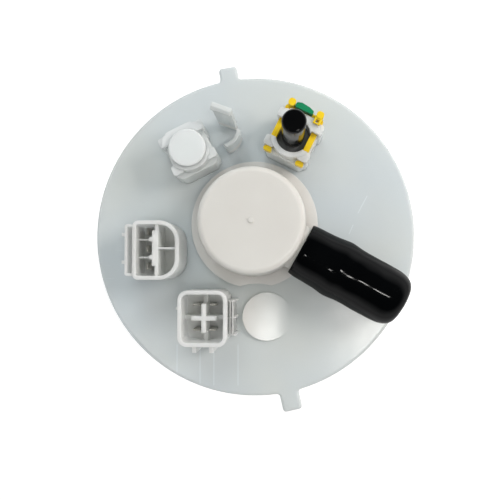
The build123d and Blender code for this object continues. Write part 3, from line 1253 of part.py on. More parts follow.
def strainer():
    """Pillow-shaped suction filter under the pump."""
    top = PUMP_BOTTOM - STRAINER_NECK_H
    bottom = FLOOR_TOP + FREE_GAP
    middle = (top + bottom) / 2
    body = turned((0, bottom), (STRAINER_R - 5, bottom), (STRAINER_R - 0.5, middle - 0.6),
                  (STRAINER_R, middle), (STRAINER_R - 0.5, middle + 0.6), (STRAINER_R - 6, top), (0, top))
    return at_core(body)


# ---------------------------------------------------------------- pieces on the reservoir floor
def fill_flap():
    """Rubber first-fill valve through the reservoir's floor."""
    body = rod(FLAP_R, FLOOR_TOP, FLOOR_TOP + FLAP_T)
    bulb = RES_BOTTOM - FLAP_LIFT
    body += rod(FLAP_STEM_R, bulb - 0.5, FLOOR_TOP + 0.5)
    body += rod(FLAP_BULB_R, bulb - 1.2, bulb - 0.2)
    return Pos(FLAP_X, FLAP_Y, 0) * body


def jet_pump():
    """Suction jet pump: feed pipe, nozzle block and mixing tube."""
    centre = FLOOR_TOP + JET_LIFT + JET_R
    start, y = JET_NOZZLE
    end = start + JET_LEN
    body = Pos(CORE_X, y, centre) * Rot(0, 90, 0) * Cylinder(JET_R, JET_LEN)
    across_x, across_y = start - JET_FEED[0], y - JET_FEED[1]
    link = Pos(start - across_x / 2, y - across_y / 2) * Rot(0, 0, degrees(atan2(across_y, across_x)))
    body += prism(link * SlotCenterToCenter(hypot(across_x, across_y), 2 * JET_FEED_R),
                  centre - JET_R, centre + JET_R)
    body += rod(JET_FEED_R, centre, LID_TOP + JET_FEED_RISE, *JET_FEED)
    for x in (start + 1, end - JET_FOOT_LEN - 2):
        body += block(x, x + JET_FOOT_LEN, y - JET_FOOT_W / 2, y + JET_FOOT_W / 2, FLOOR_TOP, centre)
    body -= Pos(end + 1, y, centre) * Rot(0, -90, 0) * rod(JET_BORE_R, 0, JET_LEN - JET_MOUTH - JET_R)
    return body - rod(JET_BORE_R, FLOOR_TOP - 1, centre, start + JET_MOUTH, y)


# ---------------------------------------------------------------- level sender
def sender_body():
    """Moulded sender housing with the pivot pin, on the reservoir's flat wall."""
    low = SENDER_TOP - SENDER_H
    half = SENDER_W / 2
    body = block(SENDER_X - half, SENDER_X + half, SENDER_FACE, FLAT_FACE, low, SENDER_TOP)
    body = fillet(body.edges().filter_by(Axis.Y), 2.0)
    pin = Pos(SENDER_X, SENDER_FACE + 0.5, PIVOT_Z) * Rot(90, 0, 0) * Cylinder(
        PIVOT_R, -(HUB_FRONT - 0.8) + SENDER_FACE + 0.5, align=UP)
    return body + pin


def sender_card():
    """Ceramic resistor card under the pivot."""
    high = SENDER_TOP - CARD_DROP
    return block(SENDER_X - CARD_W / 2, SENDER_X + CARD_W / 2, CARD_FACE, SENDER_FACE, high - CARD_H, high)


def across(radius, back, front, x, z):
    """Round bar along Y between two depths."""
    return Pos(x, back, z) * Rot(90, 0, 0) * Cylinder(radius, back - front, align=UP)


def arm_frame(solid):
    """Turns a solid drawn along +X into the arm's direction at rest."""
    return Pos(SENDER_X, 0, PIVOT_Z) * Rot(0, ARM_DROP_ANGLE, 0) * solid


def sender_wiper():
    """Forked contact plate on the back of the hub, trailing over the card."""
    plate = across(HUB_R - 0.5, WIPER_BACK, HUB_BACK, 0, 0)
    for shift in (-2.2, 0.8):
        plate += block(0, 15.5, HUB_BACK, WIPER_BACK, shift, shift + 1.4)
    plate -= across(PIVOT_R + RUN_GAP, WIPER_BACK + 1, HUB_BACK - 1, 0, 0)
    return arm_frame(plate)


def arm_hub():
    """Plastic hub that grips the float wire."""
    hub = across(HUB_R, HUB_BACK, HUB_FRONT, 0, 0)
    hub += block(0, 15, HUB_FRONT, HUB_BACK, -2.4, 2.4)
    hub -= across(PIVOT_R + RUN_GAP, HUB_BACK + 1, HUB_FRONT - 1, 0, 0)
    hub -= Pos(3.2, ARM_Y, 0) * Rot(0, 90, 0) * Cylinder(ARM_R + PRESS_GAP, 20, align=UP)
    return arm_frame(hub)


def float_arm():
    """Bent wire from the hub through the float."""
    through = FLAT_FACE - 1.2
    path = FilletPolyline((3.4, ARM_Y, 0), (ARM_LEN, ARM_Y, 0), (ARM_LEN, through, 0), radius=3.0)
    wire = sweep(Plane(origin=path @ 0, z_dir=path % 0) * Circle(ARM_R), path)
    return arm_frame(wire)


def fuel_float():
    """Closed-cell float on the wire's bent end."""
    back = FLAT_FACE - 1.8
    body = block(ARM_LEN - FLOAT_LEN / 2, ARM_LEN + FLOAT_LEN / 2, back - FLOAT_T, back,
                 -FLOAT_W / 2, FLOAT_W / 2)
    body = fillet(body.edges().filter_by(Axis.Y), FLOAT_EDGE)
    hole = Pos(ARM_LEN, back + 1, 0) * Rot(90, 0, 0) * Cylinder(ARM_R + PRESS_GAP, FLOAT_T + 5, align=UP)
    body -= hole
    groove = block(ARM_LEN - FLOAT_LEN, ARM_LEN + ARM_R + FLOAT_GROOVE_PAST, ARM_Y - FLOAT_GROOVE_IN,
                   ARM_Y + ARM_R + FLOAT_GROOVE_OUT, -ARM_R - FLOAT_GRIP, ARM_R + FLOAT_GRIP)
    return arm_frame(body - groove)


# ---------------------------------------------------------------- hose and wires
def fuel_hose():
    """Nylon hose from the outlet's tail to the filter cover."""
    x, y = HOSE_SEAT
    top = HOSE_OVERLAP - SPIGOT_TAIL_DROP
    low = LID_TOP + HOSE_NIPPLE_H - HOSE_OVERLAP
    points = [(OUTLET_X, OUTLET_Y, top), (OUTLET_X, OUTLET_Y, -HOSE_BEND_DROP),
              (x, y, LID_TOP + HOSE_BEND_RISE), (x, y, low)]
    return pipe(points, HOSE_BEND, HOSE_R, HOSE_BORE_R)


def pump_wires():
    """Supply and ground leads from the flange plug to the pump plug."""
    leads = []
    for side in (-1, 1):
        x0 = FRONT_X + side * 2.4
        x1, y1 = PUMP_PLUG[0], PUMP_PLUG[1] + side * 2.4
        points = [(x0, FRONT_Y, -PLUG_H), (x0, FRONT_Y, -WIRE_DROP),
                  (x1, y1, LID_TOP + PUMP_WIRE_RISE), (x1, y1, END_CAP_TOP + PUMP_PLUG_H)]
        leads.append(pipe(points, WIRE_BEND, WIRE_R))
    return Compound(children=leads)


def sender_wires():
    """Leads from the three-way plug to the top of the level sender."""
    leads = []
    for side in (-1, 1):
        y0 = SIDE_MID + side * 3.0
        x1 = SENDER_X + side * 2.6
        y1 = SENDER_FACE + WIRE_R
        points = [(SIDE_PIN_X, y0, -PLUG_H), (SIDE_PIN_X, y0, -WIRE_DROP),
                  (x1, y1, SENDER_TOP + SENDER_WIRE_RISE), (x1, y1, SENDER_TOP)]
        leads.append(pipe(points, WIRE_BEND, WIRE_R))
    return Compound(children=leads)


# ---------------------------------------------------------------- one file for each sub-part
NODES = {
    "flange": flange,
    "vent_housing": vent_housing,
    "vent_cage": vent_cage,
    "vent_float": vent_float,
    "vent_float_spring": vent_float_spring,
    "vent_seal": vent_seal,
    "vent_cap": vent_cap,
    "outlet_socket": outlet_socket,
    "blank_socket": blank_socket,
    "outlet_spigot": outlet_spigot,
    "outlet_oring": outlet_oring,
    "outlet_retainer": outlet_retainer,
    "outlet_latch": outlet_latch,
    "outlet_cap": outlet_cap,
    "blank_plug": blank_plug,
    "pump_connector": pump_connector,
    "pump_contacts": lambda: contacts(FRONT_PINS),
    "pump_harness_plug": lambda: harness_plug(FRONT_PINS),
    "sender_connector": sender_connector,
    "sender_contacts": lambda: contacts(SIDE_PINS),
    "sender_harness_plug": lambda: harness_plug(SIDE_PINS),
    "guide_rods": guide_rods,
    "guide_springs": guide_springs,
    "rod_clips": rod_clips,
    "reservoir": reservoir,
    "reservoir_lid": reservoir_lid,
    "filter_case": filter_case,
    "filter_element": filter_element,
    "filter_cover": filter_cover,
    "crossover_pipe": crossover_pipe,
    "regulator": regulator,
    "regulator_oring": regulator_oring,
    "regulator_clip": regulator_clip,
    "pump_can": pump_can,
    "pump_end_cap": pump_end_cap,
    "pump_inlet_cover": pump_inlet_cover,
    "pump_chamber": pump_chamber,
    "pump_magnets": pump_magnets,
    "pump_armature": pump_armature,
    "pump_commutator": pump_commutator,
    "pump_shaft": pump_shaft,
    "pump_impeller": pump_impeller,
    "pump_brushes": pump_brushes,
    "check_valve": check_valve,
    "pump_plug": pump_plug,
    "pump_isolator": pump_isolator,
    "strainer_neck": strainer_neck,
    "strainer": strainer,
    "fill_flap": fill_flap,
    "jet_pump": jet_pump,
    "sender_body": sender_body,
    "sender_card": sender_card,
    "sender_wiper": sender_wiper,
    "arm_hub": arm_hub,
    "float_arm": float_arm,
    "fuel_float": fuel_float,
    "fuel_hose": fuel_hose,
    "pump_wires": pump_wires,
    "sender_wires": sender_wires,
}


def main():
    os.makedirs("parts", exist_ok=True)
    for name, build in NODES.items():
        export_step(build(), f"parts/{name}.step")


if __name__ == "__main__":
    main()
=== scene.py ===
# %% [markdown]
# # A fuel pump module, dressed for the camera
# A fuel pump module hangs through a round hole in the top of a fuel tank, and a moulded flange
# closes the hole. Below it a spring-loaded reservoir holds the pump, the filter and the level
# sender. The solids already have the right sizes, so this script keeps them and works on what the
# eye sees: surfaces, soft caps, springs, a corrugated hose, leads, light and camera.

# %% Load the solids
import json
import math

import bmesh
import bpy
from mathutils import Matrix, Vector, noise

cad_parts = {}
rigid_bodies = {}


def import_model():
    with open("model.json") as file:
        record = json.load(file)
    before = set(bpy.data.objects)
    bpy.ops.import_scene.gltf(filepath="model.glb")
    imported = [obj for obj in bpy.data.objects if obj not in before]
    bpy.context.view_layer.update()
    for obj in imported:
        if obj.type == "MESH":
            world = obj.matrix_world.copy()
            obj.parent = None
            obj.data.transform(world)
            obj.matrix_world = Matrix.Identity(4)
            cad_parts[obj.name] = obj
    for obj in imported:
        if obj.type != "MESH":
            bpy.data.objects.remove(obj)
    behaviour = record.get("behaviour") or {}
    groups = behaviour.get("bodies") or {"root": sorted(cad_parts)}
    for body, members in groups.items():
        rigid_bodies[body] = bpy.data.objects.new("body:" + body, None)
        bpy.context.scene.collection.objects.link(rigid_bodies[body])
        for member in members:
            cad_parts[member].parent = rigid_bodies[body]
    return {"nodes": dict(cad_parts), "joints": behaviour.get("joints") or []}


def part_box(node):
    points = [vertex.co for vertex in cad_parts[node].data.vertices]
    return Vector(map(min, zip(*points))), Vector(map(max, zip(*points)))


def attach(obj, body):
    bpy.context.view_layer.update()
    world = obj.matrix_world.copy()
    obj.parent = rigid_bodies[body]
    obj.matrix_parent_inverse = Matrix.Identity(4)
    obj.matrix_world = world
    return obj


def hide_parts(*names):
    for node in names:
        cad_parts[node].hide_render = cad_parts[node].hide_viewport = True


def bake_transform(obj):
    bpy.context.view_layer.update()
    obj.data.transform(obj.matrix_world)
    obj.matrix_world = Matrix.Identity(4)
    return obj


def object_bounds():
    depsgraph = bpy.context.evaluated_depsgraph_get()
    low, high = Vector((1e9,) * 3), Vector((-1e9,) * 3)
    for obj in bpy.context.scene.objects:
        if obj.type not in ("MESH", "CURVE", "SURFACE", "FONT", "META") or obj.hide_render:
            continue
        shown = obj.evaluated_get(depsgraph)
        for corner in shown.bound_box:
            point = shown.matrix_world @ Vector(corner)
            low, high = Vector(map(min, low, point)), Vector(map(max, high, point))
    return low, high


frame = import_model()
solid_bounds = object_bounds()
nodes = frame["nodes"]
MM = 0.001
UP = Vector((0, 0, 1))

# %% [markdown]
# ## Small helpers for node trees
# Every finish is a node tree, and so is everything that Geometry Nodes make. These helpers add a
# node, set its sockets and join sockets, so that the cells below read like a list of what goes into
# a tree.

# %% Tree helpers
def add(tree, kind, **values):
    """A new node, with sockets set by name and other settings as attributes."""
    node = tree.nodes.new(kind)
    for name, value in values.items():
        label = name.replace("_", " ")
        if label in node.inputs:
            node.inputs[label].default_value = value
        else:
            setattr(node, name, value)
    return node


def join(tree, source, target):
    """A link from one node's output to another's input."""
    tree.links.new(source, target)


def maths(tree, operation, *terms, **settings):
    """The result of a Math node, where each term is a socket or a number."""
    node = add(tree, "ShaderNodeMath", operation=operation, **settings)
    for socket, term in zip(node.inputs, terms):
        if isinstance(term, (int, float)):
            socket.default_value = term
        else:
            join(tree, term, socket)
    return node.outputs["Value"]


print("tree helpers:", add.__name__, join.__name__, maths.__name__)

# %% [markdown]
# A Mix node has sockets for numbers, vectors and colours under the same names, so its colour
# sockets are reached by their places in the list.

# %% Colour helpers
MIX_FACTOR, MIX_A, MIX_B, MIX_RESULT = 0, 6, 7, 2


def rgb(red, green, blue):
    """Linear colour from 0 to 255 screen values."""
    def linear(v):
        v /= 255
        return v / 12.92 if v <= 0.04045 else ((v + 0.055) / 1.055) ** 2.4
    return linear(red), linear(green), linear(blue)


def mix_colours(tree, mask, first, second):
    """The first colour, or the look so far, turned to the second where the mask is 1."""
    node = add(tree, "ShaderNodeMix", data_type="RGBA")
    join(tree, mask, node.inputs[MIX_FACTOR])
    if isinstance(first, tuple):
        node.inputs[MIX_A].default_value = (*first, 1)
    else:
        join(tree, first, node.inputs[MIX_A])
    node.inputs[MIX_B].default_value = (*second, 1)
    return node.outputs[MIX_RESULT]


def new_finish(name, colour, roughness, metallic=0.0, ior=1.46):
    """A material with one Principled shader, and its tree."""
    material = bpy.data.materials.new(name)
    material.use_nodes = True
    tree = material.node_tree
    shader = tree.nodes["Principled BSDF"]
    shader.inputs["Base Color"].default_value = (*colour, 1)
    shader.inputs["Roughness"].default_value = roughness
    shader.inputs["Metallic"].default_value = metallic
    shader.inputs["IOR"].default_value = ior
    return material, tree, shader


print("a screen grey of 128 is a linear", round(rgb(128, 128, 128)[0], 3))

# %% [markdown]
# ## Shared effects as node groups
# Moulded plastic is never quite even. It has slow clouds of tone where the melt cooled at other
# speeds, a slight ripple that bends reflections, and a very fine grain. More than one finish needs
# them, so each effect is a group that is built once and takes its sizes as inputs. A group only
# puts out numbers.

# %% Group: moulded skin
def new_group(name, inputs, outputs):
    """An empty shader group with named sockets, its input node and its output node."""
    group = bpy.data.node_groups.new(name, "ShaderNodeTree")
    for label, kind, value in inputs:
        socket = group.interface.new_socket(label, in_out="INPUT", socket_type=kind)
        if value is not None:
            socket.default_value = value
    for label, kind in outputs:
        group.interface.new_socket(label, in_out="OUTPUT", socket_type=kind)
    return group, add(group, "NodeGroupInput"), add(group, "NodeGroupOutput")


def build_moulded_skin():
    """Slow clouds, a soft ripple and a fine grain, all from object coordinates."""
    group, given, result = new_group(
        "moulded_skin",
        [("Vector", "NodeSocketVector", None), ("Cloud Scale", "NodeSocketFloat", 30.0),
         ("Ripple Scale", "NodeSocketFloat", 90.0), ("Grain Scale", "NodeSocketFloat", 2500.0),
         ("Grain Share", "NodeSocketFloat", 0.25)],
        [("Cloud", "NodeSocketFloat"), ("Height", "NodeSocketFloat")])
    cloud = add(group, "ShaderNodeTexNoise", Detail=3.0, Roughness=0.5)
    ripple = add(group, "ShaderNodeTexNoise", Detail=2.0, Roughness=0.45)
    grain = add(group, "ShaderNodeTexNoise", Detail=1.0, Roughness=0.5)
    for texture, size in ((cloud, "Cloud"), (ripple, "Ripple"), (grain, "Grain")):
        join(group, given.outputs["Vector"], texture.inputs["Vector"])
        join(group, given.outputs[size + " Scale"], texture.inputs["Scale"])
    both = add(group, "ShaderNodeMix", data_type="FLOAT")
    join(group, given.outputs["Grain Share"], both.inputs["Factor"])
    join(group, ripple.outputs["Fac"], both.inputs["A"])
    join(group, grain.outputs["Fac"], both.inputs["B"])
    join(group, cloud.outputs["Fac"], result.inputs["Cloud"])
    join(group, both.outputs["Result"], result.inputs["Height"])
    return group


moulded_skin = build_moulded_skin()
print("group:", moulded_skin.name)

# %% [markdown]
# Handling leaves short, thin scratches. A noise that is squeezed hard in one direction and cut at a
# high threshold gives sparse hairlines; two of them in different directions look unplanned.

# %% Group: hairlines
HAIR_RUNS = ((0.35, 0.0), (2.1, 3.7))       # turn in radians, and a shift that gives other hairs
HAIR_SQUEEZE = 38                           # how many times longer than wide
HAIR_FULL = 0.80                            # noise value at which a hair is at its clearest


def build_hairlines():
    """A mask of sparse hairlines that run two ways."""
    group, given, result = new_group(
        "hairlines",
        [("Vector", "NodeSocketVector", None), ("Length Scale", "NodeSocketFloat", 60.0),
         ("Threshold", "NodeSocketFloat", 0.72)],
        [("Mask", "NodeSocketFloat")])
    masks = []
    for turn, shift in HAIR_RUNS:
        place = add(group, "ShaderNodeMapping", Location=(shift, shift, 0), Rotation=(0, 0, turn),
                    Scale=(1, HAIR_SQUEEZE, 1))
        texture = add(group, "ShaderNodeTexNoise", Detail=2.0, Roughness=0.6)
        cut = add(group, "ShaderNodeMapRange", clamp=True, From_Max=HAIR_FULL)
        join(group, given.outputs["Vector"], place.inputs["Vector"])
        join(group, place.outputs["Vector"], texture.inputs["Vector"])
        join(group, given.outputs["Length Scale"], texture.inputs["Scale"])
        join(group, texture.outputs["Fac"], cut.inputs["Value"])
        join(group, given.outputs["Threshold"], cut.inputs["From Min"])
        masks.append(cut.outputs["Result"])
    join(group, maths(group, "MAXIMUM", *masks), result.inputs["Mask"])
    return group


hairlines = build_hairlines()
print("group:", hairlines.name)

# %% [markdown]
# A few marks are single straight lines. The nearest point on a line from Start to End gives the
# distance, and the mask falls from 1 on the line to 0 at its width.

# %% Group: one straight mark
def build_straight_mark():
    """A mask that is 1 on the line from Start to End."""
    group, given, result = new_group(
        "straight_mark",
        [("Vector", "NodeSocketVector", None), ("Start", "NodeSocketVector", None),
         ("End", "NodeSocketVector", None), ("Width", "NodeSocketFloat", 0.0003)],
        [("Mask", "NodeSocketFloat")])

    def vector(operation, a, b, output="Vector"):
        node = add(group, "ShaderNodeVectorMath", operation=operation)
        join(group, a, node.inputs[0])
        join(group, b, node.inputs[1])
        return node.outputs[output]

    run = vector("SUBTRACT", given.outputs["End"], given.outputs["Start"])
    way = vector("SUBTRACT", given.outputs["Vector"], given.outputs["Start"])
    share = maths(group, "DIVIDE", vector("DOT_PRODUCT", way, run, "Value"),
                  vector("DOT_PRODUCT", run, run, "Value"), use_clamp=True)
    nearest = add(group, "ShaderNodeVectorMath", operation="SCALE")
    join(group, run, nearest.inputs[0])
    join(group, share, nearest.inputs["Scale"])
    away = add(group, "ShaderNodeMapRange", clamp=True, To_Min=1.0, To_Max=0.0)
    join(group, vector("DISTANCE", way, nearest.outputs["Vector"], "Value"), away.inputs["Value"])
    join(group, given.outputs["Width"], away.inputs["From Max"])
    join(group, away.outputs["Result"], result.inputs["Mask"])
    return group


straight_mark = build_straight_mark()
print("group:", straight_mark.name)

# %% [markdown]
# ## Finishes
# Milky plastic carries most of the look. The flange, dome and ports are a natural acetal: light
# goes in a few millimetres and comes out softly, so it needs subsurface scattering and a semi-gloss
# skin. The flange's pad and bump are painted lighter and warmer than its cool plate, as a painted
# warm light. They are one moulding, so this tint follows the height and not a second material.

# %% Tints of one finish
PLATE_TOP, RAISED_TOP = 3.5 * MM, 8.0 * MM      # the plate's face, and the top of its raised pad
RAISED_FADE = 2.5 * MM                          # over which one tint turns into the other


def cloudy_tint(tree, cloud, colour, second):
    """Two close tints in slow clouds."""
    spread = add(tree, "ShaderNodeMapRange", clamp=True, From_Min=0.35, From_Max=0.65)
    join(tree, cloud, spread.inputs["Value"])
    return mix_colours(tree, spread.outputs["Result"], colour, second)


# Where this mask is 1, the pad and bump get their painted warm light.
def raised_light_mask(tree, place):
    """1 on what stands higher than the plate's face, but no higher than its pad."""
    split = add(tree, "ShaderNodeSeparateXYZ")
    join(tree, place, split.inputs["Vector"])
    above = add(tree, "ShaderNodeMapRange", clamp=True, From_Min=PLATE_TOP,
                From_Max=PLATE_TOP + RAISED_FADE)
    below = add(tree, "ShaderNodeMapRange", clamp=True, From_Min=RAISED_TOP,
                From_Max=RAISED_TOP + RAISED_FADE, To_Min=1.0, To_Max=0.0)
    for edge in (above, below):
        join(tree, split.outputs["Z"], edge.inputs["Value"])
    return maths(tree, "MULTIPLY", above.outputs["Result"], below.outputs["Result"])


def worn_look(tree, place, look, colour, scratches, marks):
    """The look so far, with pale hairlines and with marks given as (start, end, width)."""
    light = tuple(min(1.0, c * 1.15 + 0.04) for c in colour)
    if scratches:
        hairs = add(tree, "ShaderNodeGroup", node_tree=hairlines)
        join(tree, place, hairs.inputs["Vector"])
        faint = maths(tree, "MULTIPLY", hairs.outputs["Mask"], scratches)
        look = mix_colours(tree, faint, look, light)
    for start, end, width in marks:
        line = add(tree, "ShaderNodeGroup", node_tree=straight_mark, Start=start, End=end,
                   Width=width)
        join(tree, place, line.inputs["Vector"])
        look = mix_colours(tree, line.outputs["Mask"], look, light)
    return look


print("raised tint from", round(PLATE_TOP / MM, 1), "to", round(RAISED_TOP / MM, 1), "mm")

# %% [markdown]
# Corners of a moulding are never sharp, so a Bevel node rounds the shading at the edges without
# touching the mesh. Soft vinyl shines through a thin clear coat alone: with its own mirror off, it
# stays black where it is seen at a flat angle.

# %% Finish builder for plastics
COAT_ROUGHNESS = 0.09


def plastic(name, colour, second, roughness, *, depth=0.0, reach=0.0, cloud=30.0, ripple=90.0,
            ripple_depth=0.02, grain_share=0.25, edge=0.35, coat=0.0, scratches=0.0, raised_warm_light=None,
            marks=()):
    """Moulded plastic: clouded tints, rippled skin, soft edges and light that soaks in.

    Depth is the share of light that soaks in. Reach, ripple_depth and edge are in millimetres."""
    material, tree, shader = new_finish(name, colour, roughness, ior=1.48)
    place = add(tree, "ShaderNodeTexCoord").outputs["Object"]
    skin = add(tree, "ShaderNodeGroup", node_tree=moulded_skin, Cloud_Scale=cloud,
               Ripple_Scale=ripple, Grain_Share=grain_share)
    join(tree, place, skin.inputs["Vector"])
    look = cloudy_tint(tree, skin.outputs["Cloud"], colour, second)
    # A painted warm light: the raised parts turn lighter and warmer.
    if raised_warm_light:
        look = mix_colours(tree, raised_light_mask(tree, place), look, raised_warm_light)
    look = worn_look(tree, place, look, colour, scratches, marks)
    join(tree, look, shader.inputs["Base Color"])
    rough = add(tree, "ShaderNodeMapRange", To_Min=roughness * 0.85, To_Max=roughness * 1.2)
    join(tree, skin.outputs["Cloud"], rough.inputs["Value"])
    join(tree, rough.outputs["Result"], shader.inputs["Roughness"])
    bump = add(tree, "ShaderNodeBump", Strength=1.0, Distance=ripple_depth * MM)
    join(tree, skin.outputs["Height"], bump.inputs["Height"])
    if edge:
        soft = add(tree, "ShaderNodeBevel", samples=6, Radius=edge * MM)
        join(tree, soft.outputs["Normal"], bump.inputs["Normal"])
    join(tree, bump.outputs["Normal"], shader.inputs["Normal"])
    if depth:
        shader.inputs["Subsurface Weight"].default_value = depth
        shader.inputs["Subsurface Radius"].default_value = (1.0, 1.0, 1.0)
        shader.inputs["Subsurface Scale"].default_value = reach * MM
    if coat:
        shader.inputs["Coat Weight"].default_value = coat
        shader.inputs["Coat Roughness"].default_value = COAT_ROUGHNESS
        shader.inputs["Specular IOR Level"].default_value = 0.0
    return material


print("plastic builder ready, coat roughness", COAT_ROUGHNESS)

# %% [markdown]
# ## Milky plastics
# The plate shows four straight flow lines near its edge, where the melt met while it was moulded,
# and two thin scratches. Their ends are given in millimetres on the plate's face.

# %% Flange, dome, ports and connectors
# (start, end, width) in millimetres on the plate's face
SCRATCHES = [((49.7, 17.0), (45.8, 9.6), 0.25), ((43.6, 4.4), (41.9, 0.5), 0.25)]
FLOW_LINES = [((-33.4, -48.1), (-33.4, -60.5), 0.3), ((-23.2, -48.1), (-23.2, -65.0), 0.3),
              ((-17.1, -48.0), (-17.1, -65.4), 0.3), ((-6.5, -47.9), (-6.5, -65.3), 0.3)]


def on_plate(point):
    """A point on the plate's face in metres."""
    return (*(c * MM for c in point), PLATE_TOP)


plate_marks = [(on_plate(start), on_plate(end), width * MM)
               for start, end, width in SCRATCHES + FLOW_LINES]
# The flange's raised tint is a painted warm light.
milky = plastic("milky_acetal", rgb(203, 210, 213), rgb(209, 213, 211), 0.17, depth=0.7,
                reach=6.0, cloud=14, ripple_depth=0.09, scratches=0.5,
                raised_warm_light=rgb(222, 220, 216), marks=plate_marks)
dome_white = plastic("dome_acetal", rgb(224, 222, 216), rgb(218, 215, 209), 0.30, depth=0.6,
                     reach=5.0, cloud=22, ripple=60, ripple_depth=0.03)
port_white = plastic("port_acetal", rgb(231, 235, 235), rgb(224, 228, 227), 0.28, depth=0.8,
                     reach=5.0, cloud=40)
connector_white = plastic("connector_acetal", rgb(238, 239, 236), rgb(230, 232, 228), 0.30,
                          depth=1.0, reach=9.0, cloud=50)
inner_white = plastic("inner_acetal", rgb(214, 216, 212), rgb(204, 207, 204), 0.35, cloud=20,
                      ripple=70)
print("milky finishes:", milky.name, dome_white.name, port_white.name, connector_white.name)

# %% [markdown]
# The shipping caps are soft black vinyl with a wet gloss. The retainer is yellow and its latch
# green, both glossy nylon. Everything below the flange that is black is glass-filled, so it is
# duller.

# %% Coloured and black plastics
black_vinyl = plastic("black_vinyl", rgb(3, 4, 5), rgb(5, 6, 7), 0.12, cloud=60, ripple=140,
                      ripple_depth=0.05, edge=0.3, coat=0.34)
slim_vinyl = plastic("slim_black_vinyl", rgb(6, 7, 8), rgb(10, 10, 11), 0.16, cloud=80, ripple=220,
                     edge=0.3, coat=0.75)
yellow = plastic("yellow_nylon", rgb(250, 216, 40), rgb(240, 200, 24), 0.28, depth=0.2, reach=1.0,
                 cloud=80, ripple=300, ripple_depth=0.01, edge=0.4)
green = plastic("green_nylon", rgb(20, 140, 92), rgb(12, 122, 80), 0.30, cloud=90, ripple=300,
                ripple_depth=0.01, edge=0.3)
smoke = plastic("smoke_nylon", rgb(110, 112, 112), rgb(92, 94, 95), 0.22, cloud=50, edge=0.3)
black_glass_nylon = plastic("black_glass_filled", rgb(34, 34, 35), rgb(44, 44, 45), 0.48, cloud=70,
                            ripple=300, ripple_depth=0.03, grain_share=0.6)
hose_black = plastic("hose_nylon_black", rgb(30, 30, 32), rgb(38, 38, 40), 0.36, cloud=60,
                     ripple=260, edge=0.0)
rubber_black = plastic("rubber_black", rgb(26, 26, 26), rgb(36, 35, 34), 0.62, cloud=120,
                       ripple=500, ripple_depth=0.03, grain_share=0.7)
print("dark finishes:", black_vinyl.name, slim_vinyl.name, hose_black.name)

# %% [markdown]
# Metals need something to reflect and a slight direction in their surface. Drawn rods and
# deep-drawn cans have fine lines; contacts are tin plated with a dull bloom. A noise that is
# stretched along one axis gives the lines, and a second one, in patches, changes the roughness a
# little.

# %% Finish builder for metals
ALONG_Z, ALONG_XY, NO_GRAIN = (1, 1, 0.02), (0.02, 0.02, 1), (1, 1, 1)


def metal(name, colour, roughness, stretch=ALONG_Z, line_scale=1800.0, stain=0.0):
    """Bare metal with drawn lines, patches of other gloss, and a darker stain in them."""
    material, tree, shader = new_finish(name, colour, roughness, metallic=1.0)
    place = add(tree, "ShaderNodeTexCoord").outputs["Object"]
    grain = add(tree, "ShaderNodeMapping", Scale=stretch)
    lines = add(tree, "ShaderNodeTexNoise", Scale=line_scale, Detail=2.0)
    join(tree, place, grain.inputs["Vector"])
    join(tree, grain.outputs["Vector"], lines.inputs["Vector"])
    bump = add(tree, "ShaderNodeBump", Strength=0.6, Distance=0.006 * MM)
    join(tree, lines.outputs["Fac"], bump.inputs["Height"])
    join(tree, bump.outputs["Normal"], shader.inputs["Normal"])
    patches = add(tree, "ShaderNodeTexNoise", Scale=160.0, Detail=4.0)
    join(tree, place, patches.inputs["Vector"])
    rough = add(tree, "ShaderNodeMapRange", To_Min=roughness * 0.7, To_Max=roughness * 1.4)
    join(tree, patches.outputs["Fac"], rough.inputs["Value"])
    join(tree, rough.outputs["Result"], shader.inputs["Roughness"])
    if stain:
        cut = add(tree, "ShaderNodeMapRange", clamp=True, From_Min=0.45, From_Max=0.7)
        join(tree, patches.outputs["Fac"], cut.inputs["Value"])
        darker = tuple(c * (1 - stain) for c in colour)
        look = mix_colours(tree, cut.outputs["Result"], colour, darker)
        join(tree, look, shader.inputs["Base Color"])
    return material


tinned = metal("tinned_contact", (0.66, 0.64, 0.60), 0.34, stain=0.25)
bright_steel = metal("drawn_steel", (0.60, 0.61, 0.63), 0.22)
spring_steel = metal("spring_steel", (0.50, 0.51, 0.53), 0.30, stretch=NO_GRAIN, stain=0.2)
can_steel = metal("zinc_can", (0.58, 0.59, 0.60), 0.30, line_scale=1200, stain=0.15)
copper = metal("commutator_copper", (0.75, 0.42, 0.26), 0.3, stain=0.3)
iron = metal("armature_iron", (0.30, 0.27, 0.25), 0.5, stretch=ALONG_XY, line_scale=1500, stain=0.4)
print("metals:", tinned.name, bright_steel.name, can_steel.name, copper.name)

# %% [markdown]
# The last finishes are dry or woven: filter paper, a nylon strainer mesh, ferrite magnets, carbon
# brushes, a ceramic card and the closed-cell foam of the float. A plain weave comes from two
# crossed waves.

# %% Dry and woven finishes
WAVE_AT_SCALE_1 = 0.314      # metres from thread to thread of a Wave texture whose scale is 1


def textured(tree, shader, height, colour, second, strength, depth):
    """A height that mixes two tints and raises the surface by a depth in millimetres."""
    join(tree, mix_colours(tree, height, colour, second), shader.inputs["Base Color"])
    bump = add(tree, "ShaderNodeBump", Strength=strength, Distance=depth * MM)
    join(tree, height, bump.inputs["Height"])
    join(tree, bump.outputs["Normal"], shader.inputs["Normal"])


def rough_stuff(name, colour, second, roughness, scale, depth):
    """Dry material with a fine, uneven tooth."""
    material, tree, shader = new_finish(name, colour, roughness)
    where = add(tree, "ShaderNodeTexCoord")
    tooth = add(tree, "ShaderNodeTexNoise", Scale=scale, Detail=6.0, Roughness=0.65)
    join(tree, where.outputs["Object"], tooth.inputs["Vector"])
    textured(tree, shader, tooth.outputs["Fac"], colour, second, 0.8, depth)
    return material


